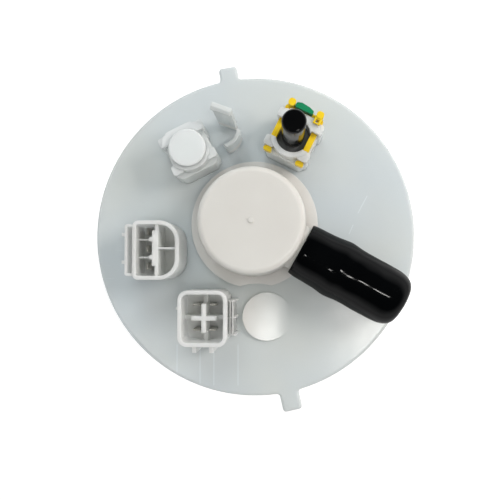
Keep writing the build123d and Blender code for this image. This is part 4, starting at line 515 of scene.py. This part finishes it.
def woven(name, colour, shade, pitch, depth):
    """Plain weave: crossed waves along X and Y, a mesh pitch in millimetres apart."""
    material, tree, shader = new_finish(name, colour, 0.45)
    where = add(tree, "ShaderNodeTexCoord")
    threads = []
    for direction in ("X", "Y"):
        wave = add(tree, "ShaderNodeTexWave", bands_direction=direction,
                   Scale=WAVE_AT_SCALE_1 / (pitch * MM))
        join(tree, where.outputs["Object"], wave.inputs["Vector"])
        threads.append(wave.outputs["Fac"])
    textured(tree, shader, maths(tree, "MAXIMUM", *threads), shade, colour, 0.7, depth)
    return material


paper = rough_stuff("filter_paper", rgb(226, 212, 170), rgb(208, 190, 146), 0.85, 900, 0.05)
strainer_weave = woven("strainer_weave", rgb(232, 234, 230), rgb(150, 154, 152), 0.5, 0.12)
ferrite = rough_stuff("ferrite", rgb(92, 90, 90), rgb(74, 72, 72), 0.6, 700, 0.02)
carbon = rough_stuff("brush_carbon", rgb(60, 60, 60), rgb(44, 44, 44), 0.5, 1200, 0.02)
ceramic = rough_stuff("card_ceramic", rgb(238, 238, 232), rgb(228, 228, 222), 0.4, 500, 0.01)
foam = rough_stuff("float_foam", rgb(52, 50, 48), rgb(36, 35, 34), 0.8, 1400, 0.08)
print("dry finishes:", paper.name, strainer_weave.name, foam.name)

# %% [markdown]
# ## Dressing the solids
# Each solid keeps its shape and only gets a finish in its material slots. The list is grouped by
# what the piece is moulded, drawn or woven from.

# %% Give every solid its finish
DRESS = {
    milky: ["flange"],
    dome_white: ["vent_housing"],
    port_white: ["outlet_socket", "blank_socket", "blank_plug"],
    connector_white: ["pump_connector", "sender_connector"],
    inner_white: ["vent_cage", "vent_float", "reservoir", "reservoir_lid", "jet_pump", "arm_hub",
                  "check_valve"],
    black_vinyl: ["vent_cap"],
    slim_vinyl: ["outlet_cap"],
    yellow: ["outlet_retainer"],
    green: ["outlet_latch"],
    smoke: ["outlet_spigot"],
    black_glass_nylon: ["pump_harness_plug", "sender_harness_plug", "filter_case", "filter_cover",
                        "strainer_neck", "pump_end_cap", "pump_inlet_cover", "pump_chamber",
                        "pump_impeller", "pump_plug", "sender_body"],
    hose_black: ["fuel_hose", "crossover_pipe", "pump_wires", "sender_wires"],
    rubber_black: ["vent_seal", "outlet_oring", "regulator_oring", "pump_isolator", "fill_flap"],
    tinned: ["pump_contacts", "sender_contacts"],
    bright_steel: ["guide_rods", "pump_shaft", "float_arm", "regulator"],
    spring_steel: ["guide_springs", "vent_float_spring", "rod_clips", "regulator_clip"],
    can_steel: ["pump_can"],
    copper: ["pump_commutator", "sender_wiper"],
    iron: ["pump_armature"],
    paper: ["filter_element"],
    strainer_weave: ["strainer"],
    ferrite: ["pump_magnets"],
    carbon: ["pump_brushes"],
    ceramic: ["sender_card"],
    foam: ["fuel_float"],
}
dressed = set()
for finish, names in DRESS.items():
    for name in names:
        slots = nodes[name].data.materials
        for i in range(len(slots)):
            slots[i] = finish
        if not slots:
            slots.append(finish)
        dressed.add(name)
print("dressed", len(dressed), "of", len(nodes), "; left:", sorted(set(nodes) - dressed))

# %% [markdown]
# ## Mesh helpers
# A turned soft piece is built as rings of points that are joined to a skin. The skin's faces are
# turned outward, and the finished object stays at the origin with its place in the mesh.

# %% Ring skin
def add_object(name, data):
    """A new object in the scene, for a mesh, a lamp or a camera."""
    item = bpy.data.objects.new(name, data)
    bpy.context.scene.collection.objects.link(item)
    return item


def finish_mesh(name, mesh_data, finish):
    """A smooth piece from mesh data, which is used up."""
    mesh = bpy.data.meshes.new(name)
    mesh_data.to_mesh(mesh)
    mesh_data.free()
    mesh.materials.append(finish)
    mesh.polygons.foreach_set("use_smooth", [True] * len(mesh.polygons))
    return add_object(name, mesh)


def ring_skin(rings):
    """A skin through rings of equal point counts; a ring of one point closes an end."""
    skin = bmesh.new()
    rows = [[skin.verts.new(p) for p in ring] for ring in rings]
    for one, two in zip(rows, rows[1:]):
        count = max(len(one), len(two))
        for k in range(count):
            n = (k + 1) % count
            a, b = one[k % len(one)], one[n % len(one)]
            c, d = two[n % len(two)], two[k % len(two)]
            corners = [v for i, v in enumerate((a, b, c, d)) if v not in (a, b, c, d)[:i]]
            skin.faces.new(corners)
    bmesh.ops.recalc_face_normals(skin, faces=skin.faces)
    return skin


print("pieces so far:", len(bpy.context.scene.collection.all_objects))

# %% [markdown]
# ## The vapour nipple's cap
# This is a dip-moulded vinyl sleeve that is pushed over the nipple for shipping. It is thin at the
# mouth, is stretched by the barb into a bulge, and its closed end is blunt and round. It is built
# as one closed wall, outside and inside, from two profiles of a few measured points each. A smooth
# line goes through the points. The cap's axis is the line along which it pulls off.

# %% Vent cap: axis and profiles
pull = Vector(next(j["axis"] for j in frame["joints"] if j["name"] == "vent_cap_pull"))
across = UP.cross(pull)
cap_points = [v.co for v in nodes["vent_cap"].data.vertices]


def middle_along(direction):
    """Middle of the solid cap along a direction."""
    places = [p.dot(direction) for p in cap_points]
    return (min(places) + max(places)) / 2


CAP_MOUTH = (pull * min(p.dot(pull) for p in cap_points) + across * middle_along(across)
             + UP * middle_along(UP))
# (millimetres from the mouth, radius in millimetres)
CAP_OUTSIDE = [(0.0, 10.85), (0.5, 11.05), (2.9, 11.4), (7.4, 11.6), (11.9, 11.82),
               (14.9, 12.2), (17.2, 12.4), (19.4, 12.2), (22.4, 11.87), (27.4, 11.78),
               (33.4, 11.78), (39.4, 11.68), (42.0, 11.3), (44.2, 10.4), (45.7, 8.9),
               (46.4, 6.8), (46.65, 4.4), (46.7, 2.6)]
CAP_INSIDE = [(0.0, 10.35), (3.4, 10.3), (7.4, 10.35), (11.9, 10.6), (15.4, 11.0), (17.4, 11.1),
              (20.4, 10.85), (24.4, 10.55), (39.4, 10.4), (42.9, 9.5), (44.8, 7.2), (45.4, 4.4),
              (45.5, 2.0)]


def curve_value(p0, p1, p2, p3, t):
    """Value between p1 and p2 on a smooth line through four values, where t goes from 0 to 1."""
    return 0.5 * (2 * p1 + (p2 - p0) * t + (2 * p0 - 5 * p1 + 4 * p2 - p3) * t * t
                  + (3 * p1 - p0 - 3 * p2 + p3) * t ** 3)


def smooth_profile(points, step):
    """Evenly spaced points on a smooth line through (place, radius) pairs."""
    out = []
    last = len(points) - 1
    for i in range(last):
        near = [points[max(0, min(last, i + k))] for k in (-1, 0, 1, 2)]
        count = max(1, round(math.dist(near[1], near[2]) / step))
        for j in range(count):
            out.append(tuple(curve_value(*values, j / count) for values in zip(*near)))
    return out + [points[-1]]


print("vent cap mouth at", [round(c / MM, 2) for c in CAP_MOUTH], "mm")

# %% [markdown]
# A spun profile would be perfectly round, which soft vinyl never is. So each ring's radius wanders a
# little with two noises, a slow wave and a finer fold. The mouth sits tight on the nipple, so the
# wandering sets in behind it.

# %% Vent cap: the wall
CAP_POINTS_ROUND = 96
CAP_CLOSES_AT = 2.7                     # a ring with a smaller radius becomes the wall's closed end
CAP_SNUG = 6                            # millimetres behind the mouth where the wandering is full
WAVE_SIZE, FOLD_SIZE = 0.20, 0.08       # how far the radius wanders, in millimetres
WAVE_ROUND, WAVE_ALONG = 1.3, 0.075     # how fast it wanders round the cap and along it
FOLD_ROUND, FOLD_ALONG, FOLD_SHIFT = 3.0, 0.22, 9
CAP_PULLED_IN = 0.1


def on_nipple(along, radius, turn):
    """Point round the nipple's axis in metres, from millimetres and a turn from the side."""
    return CAP_MOUTH + (pull * along + across * radius * math.cos(turn)
                        + UP * radius * math.sin(turn)) * MM


def wandering(along, turn):
    """How far the vinyl stands off a true round."""
    x, y = math.cos(turn), math.sin(turn)
    wave = noise.noise(Vector((x * WAVE_ROUND, y * WAVE_ROUND, along * WAVE_ALONG)))
    fold = noise.noise(Vector((x * FOLD_ROUND, y * FOLD_ROUND, along * FOLD_ALONG + FOLD_SHIFT)))
    return (WAVE_SIZE * wave + FOLD_SIZE * fold - CAP_PULLED_IN) * min(1.0, along / CAP_SNUG)


def vent_cap_rings(profile, share):
    """Rings of one side of the wall; share is how much of the wandering it takes."""
    rings = []
    for along, radius in profile:
        if radius < CAP_CLOSES_AT:
            rings.append([on_nipple(along, 0, 0)])
            continue
        turns = [2 * math.pi * k / CAP_POINTS_ROUND for k in range(CAP_POINTS_ROUND)]
        rings.append([on_nipple(along, radius + share * wandering(along, turn), turn)
                      for turn in turns])
    return rings


outside = vent_cap_rings(smooth_profile(CAP_OUTSIDE, 0.8), 1.0)
inside = vent_cap_rings(smooth_profile(CAP_INSIDE, 1.2), 0.3)
vent_cap = finish_mesh("vent_cap_vinyl", ring_skin(outside[::-1] + inside), black_vinyl)
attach(vent_cap, "vent_cap")
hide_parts("vent_cap")
print("vent cap:", len(outside), "rings outside,", len(vent_cap.data.polygons), "faces")

# %% [markdown]
# ## Springs with Geometry Nodes
# A helical spring repeats one turn of wire, so a Spiral curve with a round profile describes it
# exactly. The tree takes the coil's sizes as named inputs, and places one spring at each point of a
# small base mesh, so the same tree makes both guide springs and the little float spring. Every tree
# starts with named sizes and ends with real faces that wear their finish.

# %% Helpers for geometry trees
def new_geometry_tree(name, sizes):
    """A geometry tree with named sizes, and its input node."""
    tree = bpy.data.node_groups.new(name, "GeometryNodeTree")
    tree.interface.new_socket("Geometry", in_out="INPUT", socket_type="NodeSocketGeometry")
    for label, value in sizes:
        socket = tree.interface.new_socket(label, in_out="INPUT", socket_type="NodeSocketFloat")
        socket.default_value = value
    tree.interface.new_socket("Geometry", in_out="OUTPUT", socket_type="NodeSocketGeometry")
    return tree, add(tree, "NodeGroupInput")


def end_tree(tree, geometry, finish):
    """Turns what the tree made into real faces with a finish."""
    real = add(tree, "GeometryNodeRealizeInstances")
    join(tree, geometry, real.inputs["Geometry"])
    paint = add(tree, "GeometryNodeSetMaterial", Material=finish)
    join(tree, real.outputs["Geometry"], paint.inputs["Geometry"])
    join(tree, paint.outputs["Geometry"], add(tree, "NodeGroupOutput").inputs["Geometry"])
    return tree


def evaluated_mesh(piece):
    """The mesh of a piece as its modifiers show it."""
    bpy.context.view_layer.update()
    shown = piece.evaluated_get(bpy.context.evaluated_depsgraph_get())
    return bpy.data.meshes.new_from_object(shown)


def bake_tree(name, points, edges, tree, sizes):
    """Runs a tree on a small base mesh and keeps the result as a plain mesh object."""
    base_mesh = bpy.data.meshes.new(name + "_base")
    base_mesh.from_pydata(points, edges, [])
    base = add_object(name + "_base", base_mesh)
    modifier = base.modifiers.new("tree", "NODES")
    modifier.node_group = tree
    for item in tree.interface.items_tree:
        if item.item_type == "SOCKET" and item.in_out == "INPUT" and item.name in sizes:
            modifier[item.identifier] = sizes[item.name]
    mesh = evaluated_mesh(base)
    mesh.name = name
    bpy.data.objects.remove(base)
    return add_object(name, mesh)


print("geometry helpers:", new_geometry_tree.__name__, end_tree.__name__, bake_tree.__name__)

# %% Spring tree
def build_spring_tree(finish):
    """One helical spring at each point, from its lowest coil upward."""
    tree, given = new_geometry_tree("helical_springs", [
        ("Coil Radius", 0.005), ("Wire Radius", 0.0006), ("Height", 0.05), ("Turns", 8.0)])
    spiral = add(tree, "GeometryNodeCurveSpiral", Resolution=28)
    join(tree, given.outputs["Turns"], spiral.inputs["Rotations"])
    join(tree, given.outputs["Coil Radius"], spiral.inputs["Start Radius"])
    join(tree, given.outputs["Coil Radius"], spiral.inputs["End Radius"])
    join(tree, given.outputs["Height"], spiral.inputs["Height"])
    wire = add(tree, "GeometryNodeCurvePrimitiveCircle", Resolution=12)
    join(tree, given.outputs["Wire Radius"], wire.inputs["Radius"])
    skin = add(tree, "GeometryNodeCurveToMesh", Fill_Caps=True)
    join(tree, spiral.outputs["Curve"], skin.inputs["Curve"])
    join(tree, wire.outputs["Curve"], skin.inputs["Profile Curve"])
    smooth = add(tree, "GeometryNodeSetShadeSmooth")
    join(tree, skin.outputs["Mesh"], smooth.inputs["Geometry"])
    place = add(tree, "GeometryNodeInstanceOnPoints")
    join(tree, given.outputs["Geometry"], place.inputs["Points"])
    join(tree, smooth.outputs["Geometry"], place.inputs["Instance"])
    return end_tree(tree, place.outputs["Instances"], finish)


spring_tree = build_spring_tree(spring_steel)
print("spring tree nodes:", len(spring_tree.nodes))

# %% [markdown]
# The two guide springs stand round the rods, at opposite corners of their box. They press the
# reservoir down onto the tank's floor, so they shorten when the reservoir rises.

# %% Guide springs
GUIDE_COIL, GUIDE_WIRE, GUIDE_TURNS = 5.2 * MM, 0.65 * MM, 8.0
low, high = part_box("guide_springs")
reach = GUIDE_COIL + GUIDE_WIRE
rod_places = [(low.x + reach, high.y - reach), (high.x - reach, low.y + reach)]
guide_springs = bake_tree(
    "guide_spring_coils", [(x, y, low.z + GUIDE_WIRE) for x, y in rod_places], [], spring_tree,
    {"Coil Radius": GUIDE_COIL, "Wire Radius": GUIDE_WIRE,
     "Height": high.z - low.z - 2 * GUIDE_WIRE, "Turns": GUIDE_TURNS})
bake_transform(guide_springs)
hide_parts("guide_springs")
print("guide springs at", [tuple(round(c / MM, 2) for c in place) for place in rod_places], "mm")

# %% [markdown]
# The vent float's spring stands on the cage's floor and carries a part of the float's weight. Its
# top rides on the float, so it grows longer as the float rises.

# %% Float spring
FLOAT_COIL, FLOAT_WIRE, FLOAT_TURNS = 3.6 * MM, 0.35 * MM, 4.0
low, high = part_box("vent_float_spring")
foot = ((low.x + high.x) / 2, (low.y + high.y) / 2, low.z + FLOAT_WIRE)
float_spring = bake_tree(
    "vent_float_coil", [foot], [], spring_tree,
    {"Coil Radius": FLOAT_COIL, "Wire Radius": FLOAT_WIRE,
     "Height": high.z - low.z - 2 * FLOAT_WIRE, "Turns": FLOAT_TURNS})
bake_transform(float_spring)
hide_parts("vent_float_spring")
print("float spring from", round(low.z / MM, 2), "to", round(high.z / MM, 2), "mm")

# %% [markdown]
# ## The corrugated hose
# Inside a module the fuel runs through a thin nylon hose that has to bend and shorten as the
# reservoir slides, so its middle is corrugated. It follows a path: straight cuffs at both ends, two
# bends between. The tree fillets a four-point path, gives each place along it its own radius, and
# sweeps a circle.

# %% Hose tree
CUFF_FADE = 2 * MM           # over which the corrugation rises from the plain cuff


def build_hose_tree(finish):
    """A hose along a path, plain in its cuffs and corrugated between them."""
    tree, given = new_geometry_tree("corrugated_hose", [
        ("Bend Radius", 0.013), ("Hose Radius", 0.006), ("Wave Depth", 0.0006),
        ("Wave Pitch", 0.003), ("Cuff Length", 0.015)])
    path = add(tree, "GeometryNodeMeshToCurve")
    join(tree, given.outputs["Geometry"], path.inputs["Mesh"])
    bends = add(tree, "GeometryNodeFilletCurve", mode="POLY", Count=24)
    join(tree, path.outputs["Curve"], bends.inputs["Curve"])
    join(tree, given.outputs["Bend Radius"], bends.inputs["Radius"])
    even = add(tree, "GeometryNodeResampleCurve", mode="LENGTH", Length=0.00035)
    join(tree, bends.outputs["Curve"], even.inputs["Curve"])
    radius = corrugated_radius(tree, given)
    thick = add(tree, "GeometryNodeSetCurveRadius")
    join(tree, even.outputs["Curve"], thick.inputs["Curve"])
    join(tree, radius, thick.inputs["Radius"])
    circle = add(tree, "GeometryNodeCurvePrimitiveCircle", Resolution=32, Radius=1.0)
    skin = add(tree, "GeometryNodeCurveToMesh")
    join(tree, thick.outputs["Curve"], skin.inputs["Curve"])
    join(tree, circle.outputs["Curve"], skin.inputs["Profile Curve"])
    join(tree, radius, skin.inputs["Scale"])
    smooth = add(tree, "GeometryNodeSetShadeSmooth")
    join(tree, skin.outputs["Mesh"], smooth.inputs["Geometry"])
    return end_tree(tree, smooth.outputs["Geometry"], finish)


def corrugated_radius(tree, given):
    """The hose's radius at each place along it: full in the cuffs, and in waves between them."""
    along = add(tree, "GeometryNodeSplineParameter").outputs["Length"]
    length = add(tree, "GeometryNodeSplineLength").outputs["Length"]
    nearest_end = maths(tree, "MINIMUM", along, maths(tree, "SUBTRACT", length, along))
    cuff = given.outputs["Cuff Length"]
    fade = add(tree, "ShaderNodeMapRange", To_Min=0.0, To_Max=1.0)
    join(tree, nearest_end, fade.inputs["Value"])
    join(tree, cuff, fade.inputs["From Min"])
    join(tree, maths(tree, "ADD", cuff, CUFF_FADE), fade.inputs["From Max"])
    turns = maths(tree, "DIVIDE", along, given.outputs["Wave Pitch"])
    sine = maths(tree, "SINE", maths(tree, "MULTIPLY", turns, 2 * math.pi))
    groove = maths(tree, "SUBTRACT", maths(tree, "MULTIPLY", sine, 0.5), 0.5)
    deep = maths(tree, "MULTIPLY", groove, given.outputs["Wave Depth"])
    ripple = maths(tree, "MULTIPLY", deep, fade.outputs["Result"])
    return maths(tree, "ADD", ripple, given.outputs["Hose Radius"])


hose_tree = build_hose_tree(hose_black)
print("hose tree nodes:", len(hose_tree.nodes))

# %% [markdown]
# The hose runs from the filter's cover up to the outlet under the flange, straight at both ends.
# Its tree makes only the outer skin, so Solidify gives it a wall. It shortens in its middle when
# the reservoir rises, and its two straight ends stay as they are.

# %% Hose
HOSE_R, HOSE_BEND, HOSE_WALL, HOSE_CUFF = 6 * MM, 13 * MM, 0.8 * MM, 15 * MM
HOSE_WAVE, HOSE_PITCH = 0.9 * MM, 2.6 * MM
TOP_RUN, FOOT_RUN = 28 * MM, 30 * MM        # straight runs before the bends
low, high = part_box("fuel_hose")
top_x, top_y, foot_x, foot_y = high.x - HOSE_R, high.y - HOSE_R, low.x + HOSE_R, low.y + HOSE_R
hose_route = [(top_x, top_y, high.z), (top_x, top_y, high.z - TOP_RUN),
              (foot_x, foot_y, low.z + FOOT_RUN), (foot_x, foot_y, low.z)]
fuel_hose = bake_tree(
    "corrugated_fuel_hose", hose_route, [(0, 1), (1, 2), (2, 3)], hose_tree,
    {"Bend Radius": HOSE_BEND, "Hose Radius": HOSE_R, "Wave Depth": HOSE_WAVE,
     "Wave Pitch": HOSE_PITCH, "Cuff Length": HOSE_CUFF})
wall = fuel_hose.modifiers.new("wall", "SOLIDIFY")
wall.thickness = HOSE_WALL
wall.offset = -1
walled = evaluated_mesh(fuel_hose)
fuel_hose.modifiers.remove(wall)
fuel_hose.data = walled
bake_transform(fuel_hose)
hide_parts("fuel_hose")
print("hose from", [round(c / MM, 2) for c in hose_route[0]],
      "to", [round(c / MM, 2) for c in hose_route[-1]], "mm")

# %% [markdown]
# ## Leads
# The leads are fixed at both ends, so the solids already follow their real route. They must give
# when the reservoir slides. A welded copy of each pair takes the place of its solid. The solid of a
# pair is one mesh, so its two islands of joined points are found first, and each takes its own
# colour.

# %% Finding the two leads of a pair
def islands(mesh_data):
    """Groups of points that are joined by edges."""
    groups, seen = [], set()
    for start in mesh_data.verts:
        if start in seen:
            continue
        waiting, island = [start], []
        seen.add(start)
        while waiting:
            point = waiting.pop()
            island.append(point)
            for other in (edge.other_vert(point) for edge in point.link_edges):
                if other not in seen:
                    seen.add(other)
                    waiting.append(other)
        groups.append(island)
    return groups


def split_colours(node, name, first, second):
    """A welded copy of a pair of leads, and how many leads it has.

    The lead on the +X +Y side of the pair's middle takes the second finish."""
    low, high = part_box(node)
    middle = (low + high) / 2
    copy = bmesh.new()
    copy.from_mesh(nodes[node].data)
    bmesh.ops.remove_doubles(copy, verts=copy.verts, dist=1e-7)
    leads = islands(copy)
    for lead in leads:
        mean = sum((v.co for v in lead), Vector()) / len(lead)
        beyond = int((mean - middle).dot(Vector((1, 1, 0))) > 0)
        for face in {f for v in lead for f in v.link_faces}:
            face.material_index = beyond
    piece = finish_mesh(name, copy, first)
    piece.data.materials.append(second)
    return piece, len(leads)


print("nodes with two leads:", [name for name in nodes if name.endswith("_wires")])

# %% Leads in two colours
wire_red = plastic("lead_red", rgb(150, 36, 30), rgb(132, 28, 24), 0.42, cloud=80, ripple=300,
                   edge=0.0)
wire_blue = plastic("lead_blue", rgb(40, 62, 128), rgb(32, 50, 108), 0.42, cloud=80, ripple=300,
                    edge=0.0)
for node, name, finish, slot in (("pump_wires", "pump_leads", wire_red, "wire_red"),
                                 ("sender_wires", "sender_leads", wire_blue, "wire_blue")):
    low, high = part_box(node)
    pair, count = split_colours(node, name, finish, hose_black)
    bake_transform(pair)
    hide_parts(node)
    print(name, "has", count, "leads")

# %% [markdown]
# ## Floor
# The module stands on its feet on a plain pale floor. The floor lights up a little for the camera
# and for mirrors only, so it shows nearly white and still keeps the module's soft shadow. No extra
# light falls on the module from it.

# %% Floor
FLOOR_HALF, FLOOR_GAP, FLOOR_GLOW = 3.0, 0.2 * MM, 0.45


def seen_directly(tree, rays):
    """1 for what is seen straight, in a mirror or through glass, and 0 for light on a piece."""
    seen = maths(tree, "MAXIMUM", rays.outputs["Is Camera Ray"], rays.outputs["Is Glossy Ray"])
    return maths(tree, "MAXIMUM", seen, rays.outputs["Is Transmission Ray"])


def build_floor_finish():
    """Matt and pale, with a glow that only direct looks see."""
    material, tree, shader = new_finish("pale_floor", rgb(240, 240, 240), 0.9)
    rays = add(tree, "ShaderNodeLightPath")
    glow = add(tree, "ShaderNodeEmission")
    strength = maths(tree, "MULTIPLY", seen_directly(tree, rays), FLOOR_GLOW)
    join(tree, strength, glow.inputs["Strength"])
    total = add(tree, "ShaderNodeAddShader")
    join(tree, shader.outputs["BSDF"], total.inputs[0])
    join(tree, glow.outputs["Emission"], total.inputs[1])
    join(tree, total.outputs["Shader"], tree.nodes["Material Output"].inputs["Surface"])
    return material


floor_z = solid_bounds[0][2] - FLOOR_GAP
corners = [(x * FLOOR_HALF, y * FLOOR_HALF, floor_z)
           for x, y in ((-1, -1), (1, -1), (1, 1), (-1, 1))]
floor_mesh = bpy.data.meshes.new("studio_floor")
floor_mesh.from_pydata(corners, [], [(0, 1, 2, 3)])
floor_mesh.materials.append(build_floor_finish())
add_object("studio_floor", floor_mesh)
print("floor at", round(floor_z / MM, 2), "mm")

# %% [markdown]
# ## Room
# An even room lights the module from all sides. To the camera it is white. In a mirror it is white
# near the horizon and dark overhead, so that glossy black vinyl has something dark to reflect, and
# its highlights stand out.

# %% Room light
ROOM_LEVEL = 0.45                           # what falls on the pieces
OVERHEAD = 0.03                             # what a mirror sees straight above
WHITE_BELOW, DARK_ABOVE = 0.12, 0.55        # how steeply a direction points up, from 0 to 1
world = bpy.data.worlds.new("studio_room")
bpy.context.scene.world = world
world.use_nodes = True
tree = world.node_tree
tree.nodes.clear()
split = add(tree, "ShaderNodeSeparateXYZ")
join(tree, add(tree, "ShaderNodeTexCoord").outputs["Generated"], split.inputs["Vector"])
ramp = add(tree, "ShaderNodeMapRange", clamp=True, From_Min=WHITE_BELOW, From_Max=DARK_ABOVE,
           To_Min=1.0, To_Max=0.0)
join(tree, split.outputs["Z"], ramp.inputs["Value"])
rays = add(tree, "ShaderNodeLightPath")
backdrop = maths(tree, "MAXIMUM", ramp.outputs["Result"], rays.outputs["Is Camera Ray"])
seen_room = add(tree, "ShaderNodeMapRange", To_Min=OVERHEAD, To_Max=1.0)
join(tree, backdrop, seen_room.inputs["Value"])
level = add(tree, "ShaderNodeMix", data_type="FLOAT", A=ROOM_LEVEL)
join(tree, seen_directly(tree, rays), level.inputs["Factor"])
join(tree, seen_room.outputs["Result"], level.inputs["B"])
background = add(tree, "ShaderNodeBackground", Color=(1, 1, 1, 1))
join(tree, level.outputs["Result"], background.inputs["Strength"])
output = add(tree, "ShaderNodeOutputWorld")
join(tree, background.outputs["Background"], output.inputs["Surface"])
print("room level", ROOM_LEVEL, "and", OVERHEAD, "overhead in mirrors")

# %% [markdown]
# ## Lamps
# Three broad lamps shape the milky plastic: a warm one from the right like a window, a cool one
# from behind and a faint one from the left. They don't show in gloss, where they would leave hard
# squares. Two small tubes a metre above do show, as the long highlights on the black caps.

# %% Lamps
LAMPS = [
    # name, place, aim, width, height, watts, colour, shows in gloss
    ("window_lamp", (0.41, 0.16, 0.36), (0, 0, 0), 0.22, 0.22, 1.6, (1.0, 0.95, 0.91), False),
    ("far_lamp", (-0.10, 0.48, 0.52), (0, 0, 0), 0.4, 0.4, 1.35, (0.88, 0.96, 1.0), False),
    ("left_lamp", (-0.9, -0.1, 0.8), (0, 0, 0), 0.6, 0.6, 0.2, (0.86, 0.95, 1.0), False),
    ("ceiling_tube_right", (0.205, -0.150, 1.0), (0.05, -0.04, 0), 0.05, 0.16, 1.1,
     (1.0, 0.98, 0.95), True),
    ("ceiling_tube_left", (-0.262, -0.190, 1.0), (-0.04, -0.05, 0), 0.06, 0.03, 0.3,
     (1.0, 0.99, 0.96), True),
]
for name, place, aim, width, height, watts, colour, shows in LAMPS:
    light = bpy.data.lights.new(name, "AREA")
    light.shape = "RECTANGLE"
    light.size, light.size_y = width, height
    light.energy = watts
    light.color = colour
    holder = add_object(name, light)
    holder.location = place
    holder.rotation_euler = (Vector(aim) - Vector(place)).to_track_quat("-Z", "Y").to_euler()
    holder.visible_glossy = shows
print("lamps:", len(LAMPS), "of", sum(row[5] for row in LAMPS), "W together")

# %% [markdown]
# ## Camera
# The camera looks almost straight down on the flange from close by, so the tall pieces lean
# outward.

# %% Camera
SENSOR_WIDTH, LENS = 36.0, 40.878                   # millimetres
CAMERA_PLACE = (0.014046, -0.014253, 0.252130)
CAMERA_TILT = (1.81244, 3.52201)                    # degrees about X and Y from straight down
camera_data = bpy.data.cameras.new("top_camera")
camera_data.sensor_width = SENSOR_WIDTH
camera_data.lens = LENS
camera_data.clip_start = 10 * MM
camera = add_object("top_camera", camera_data)
camera.location = CAMERA_PLACE
camera.rotation_euler = (*(math.radians(angle) for angle in CAMERA_TILT), 0)
bpy.context.scene.camera = camera
bpy.context.scene.view_settings.view_transform = "Standard"
print("camera", round(camera.location.z / MM, 1), "mm above the tank's face")
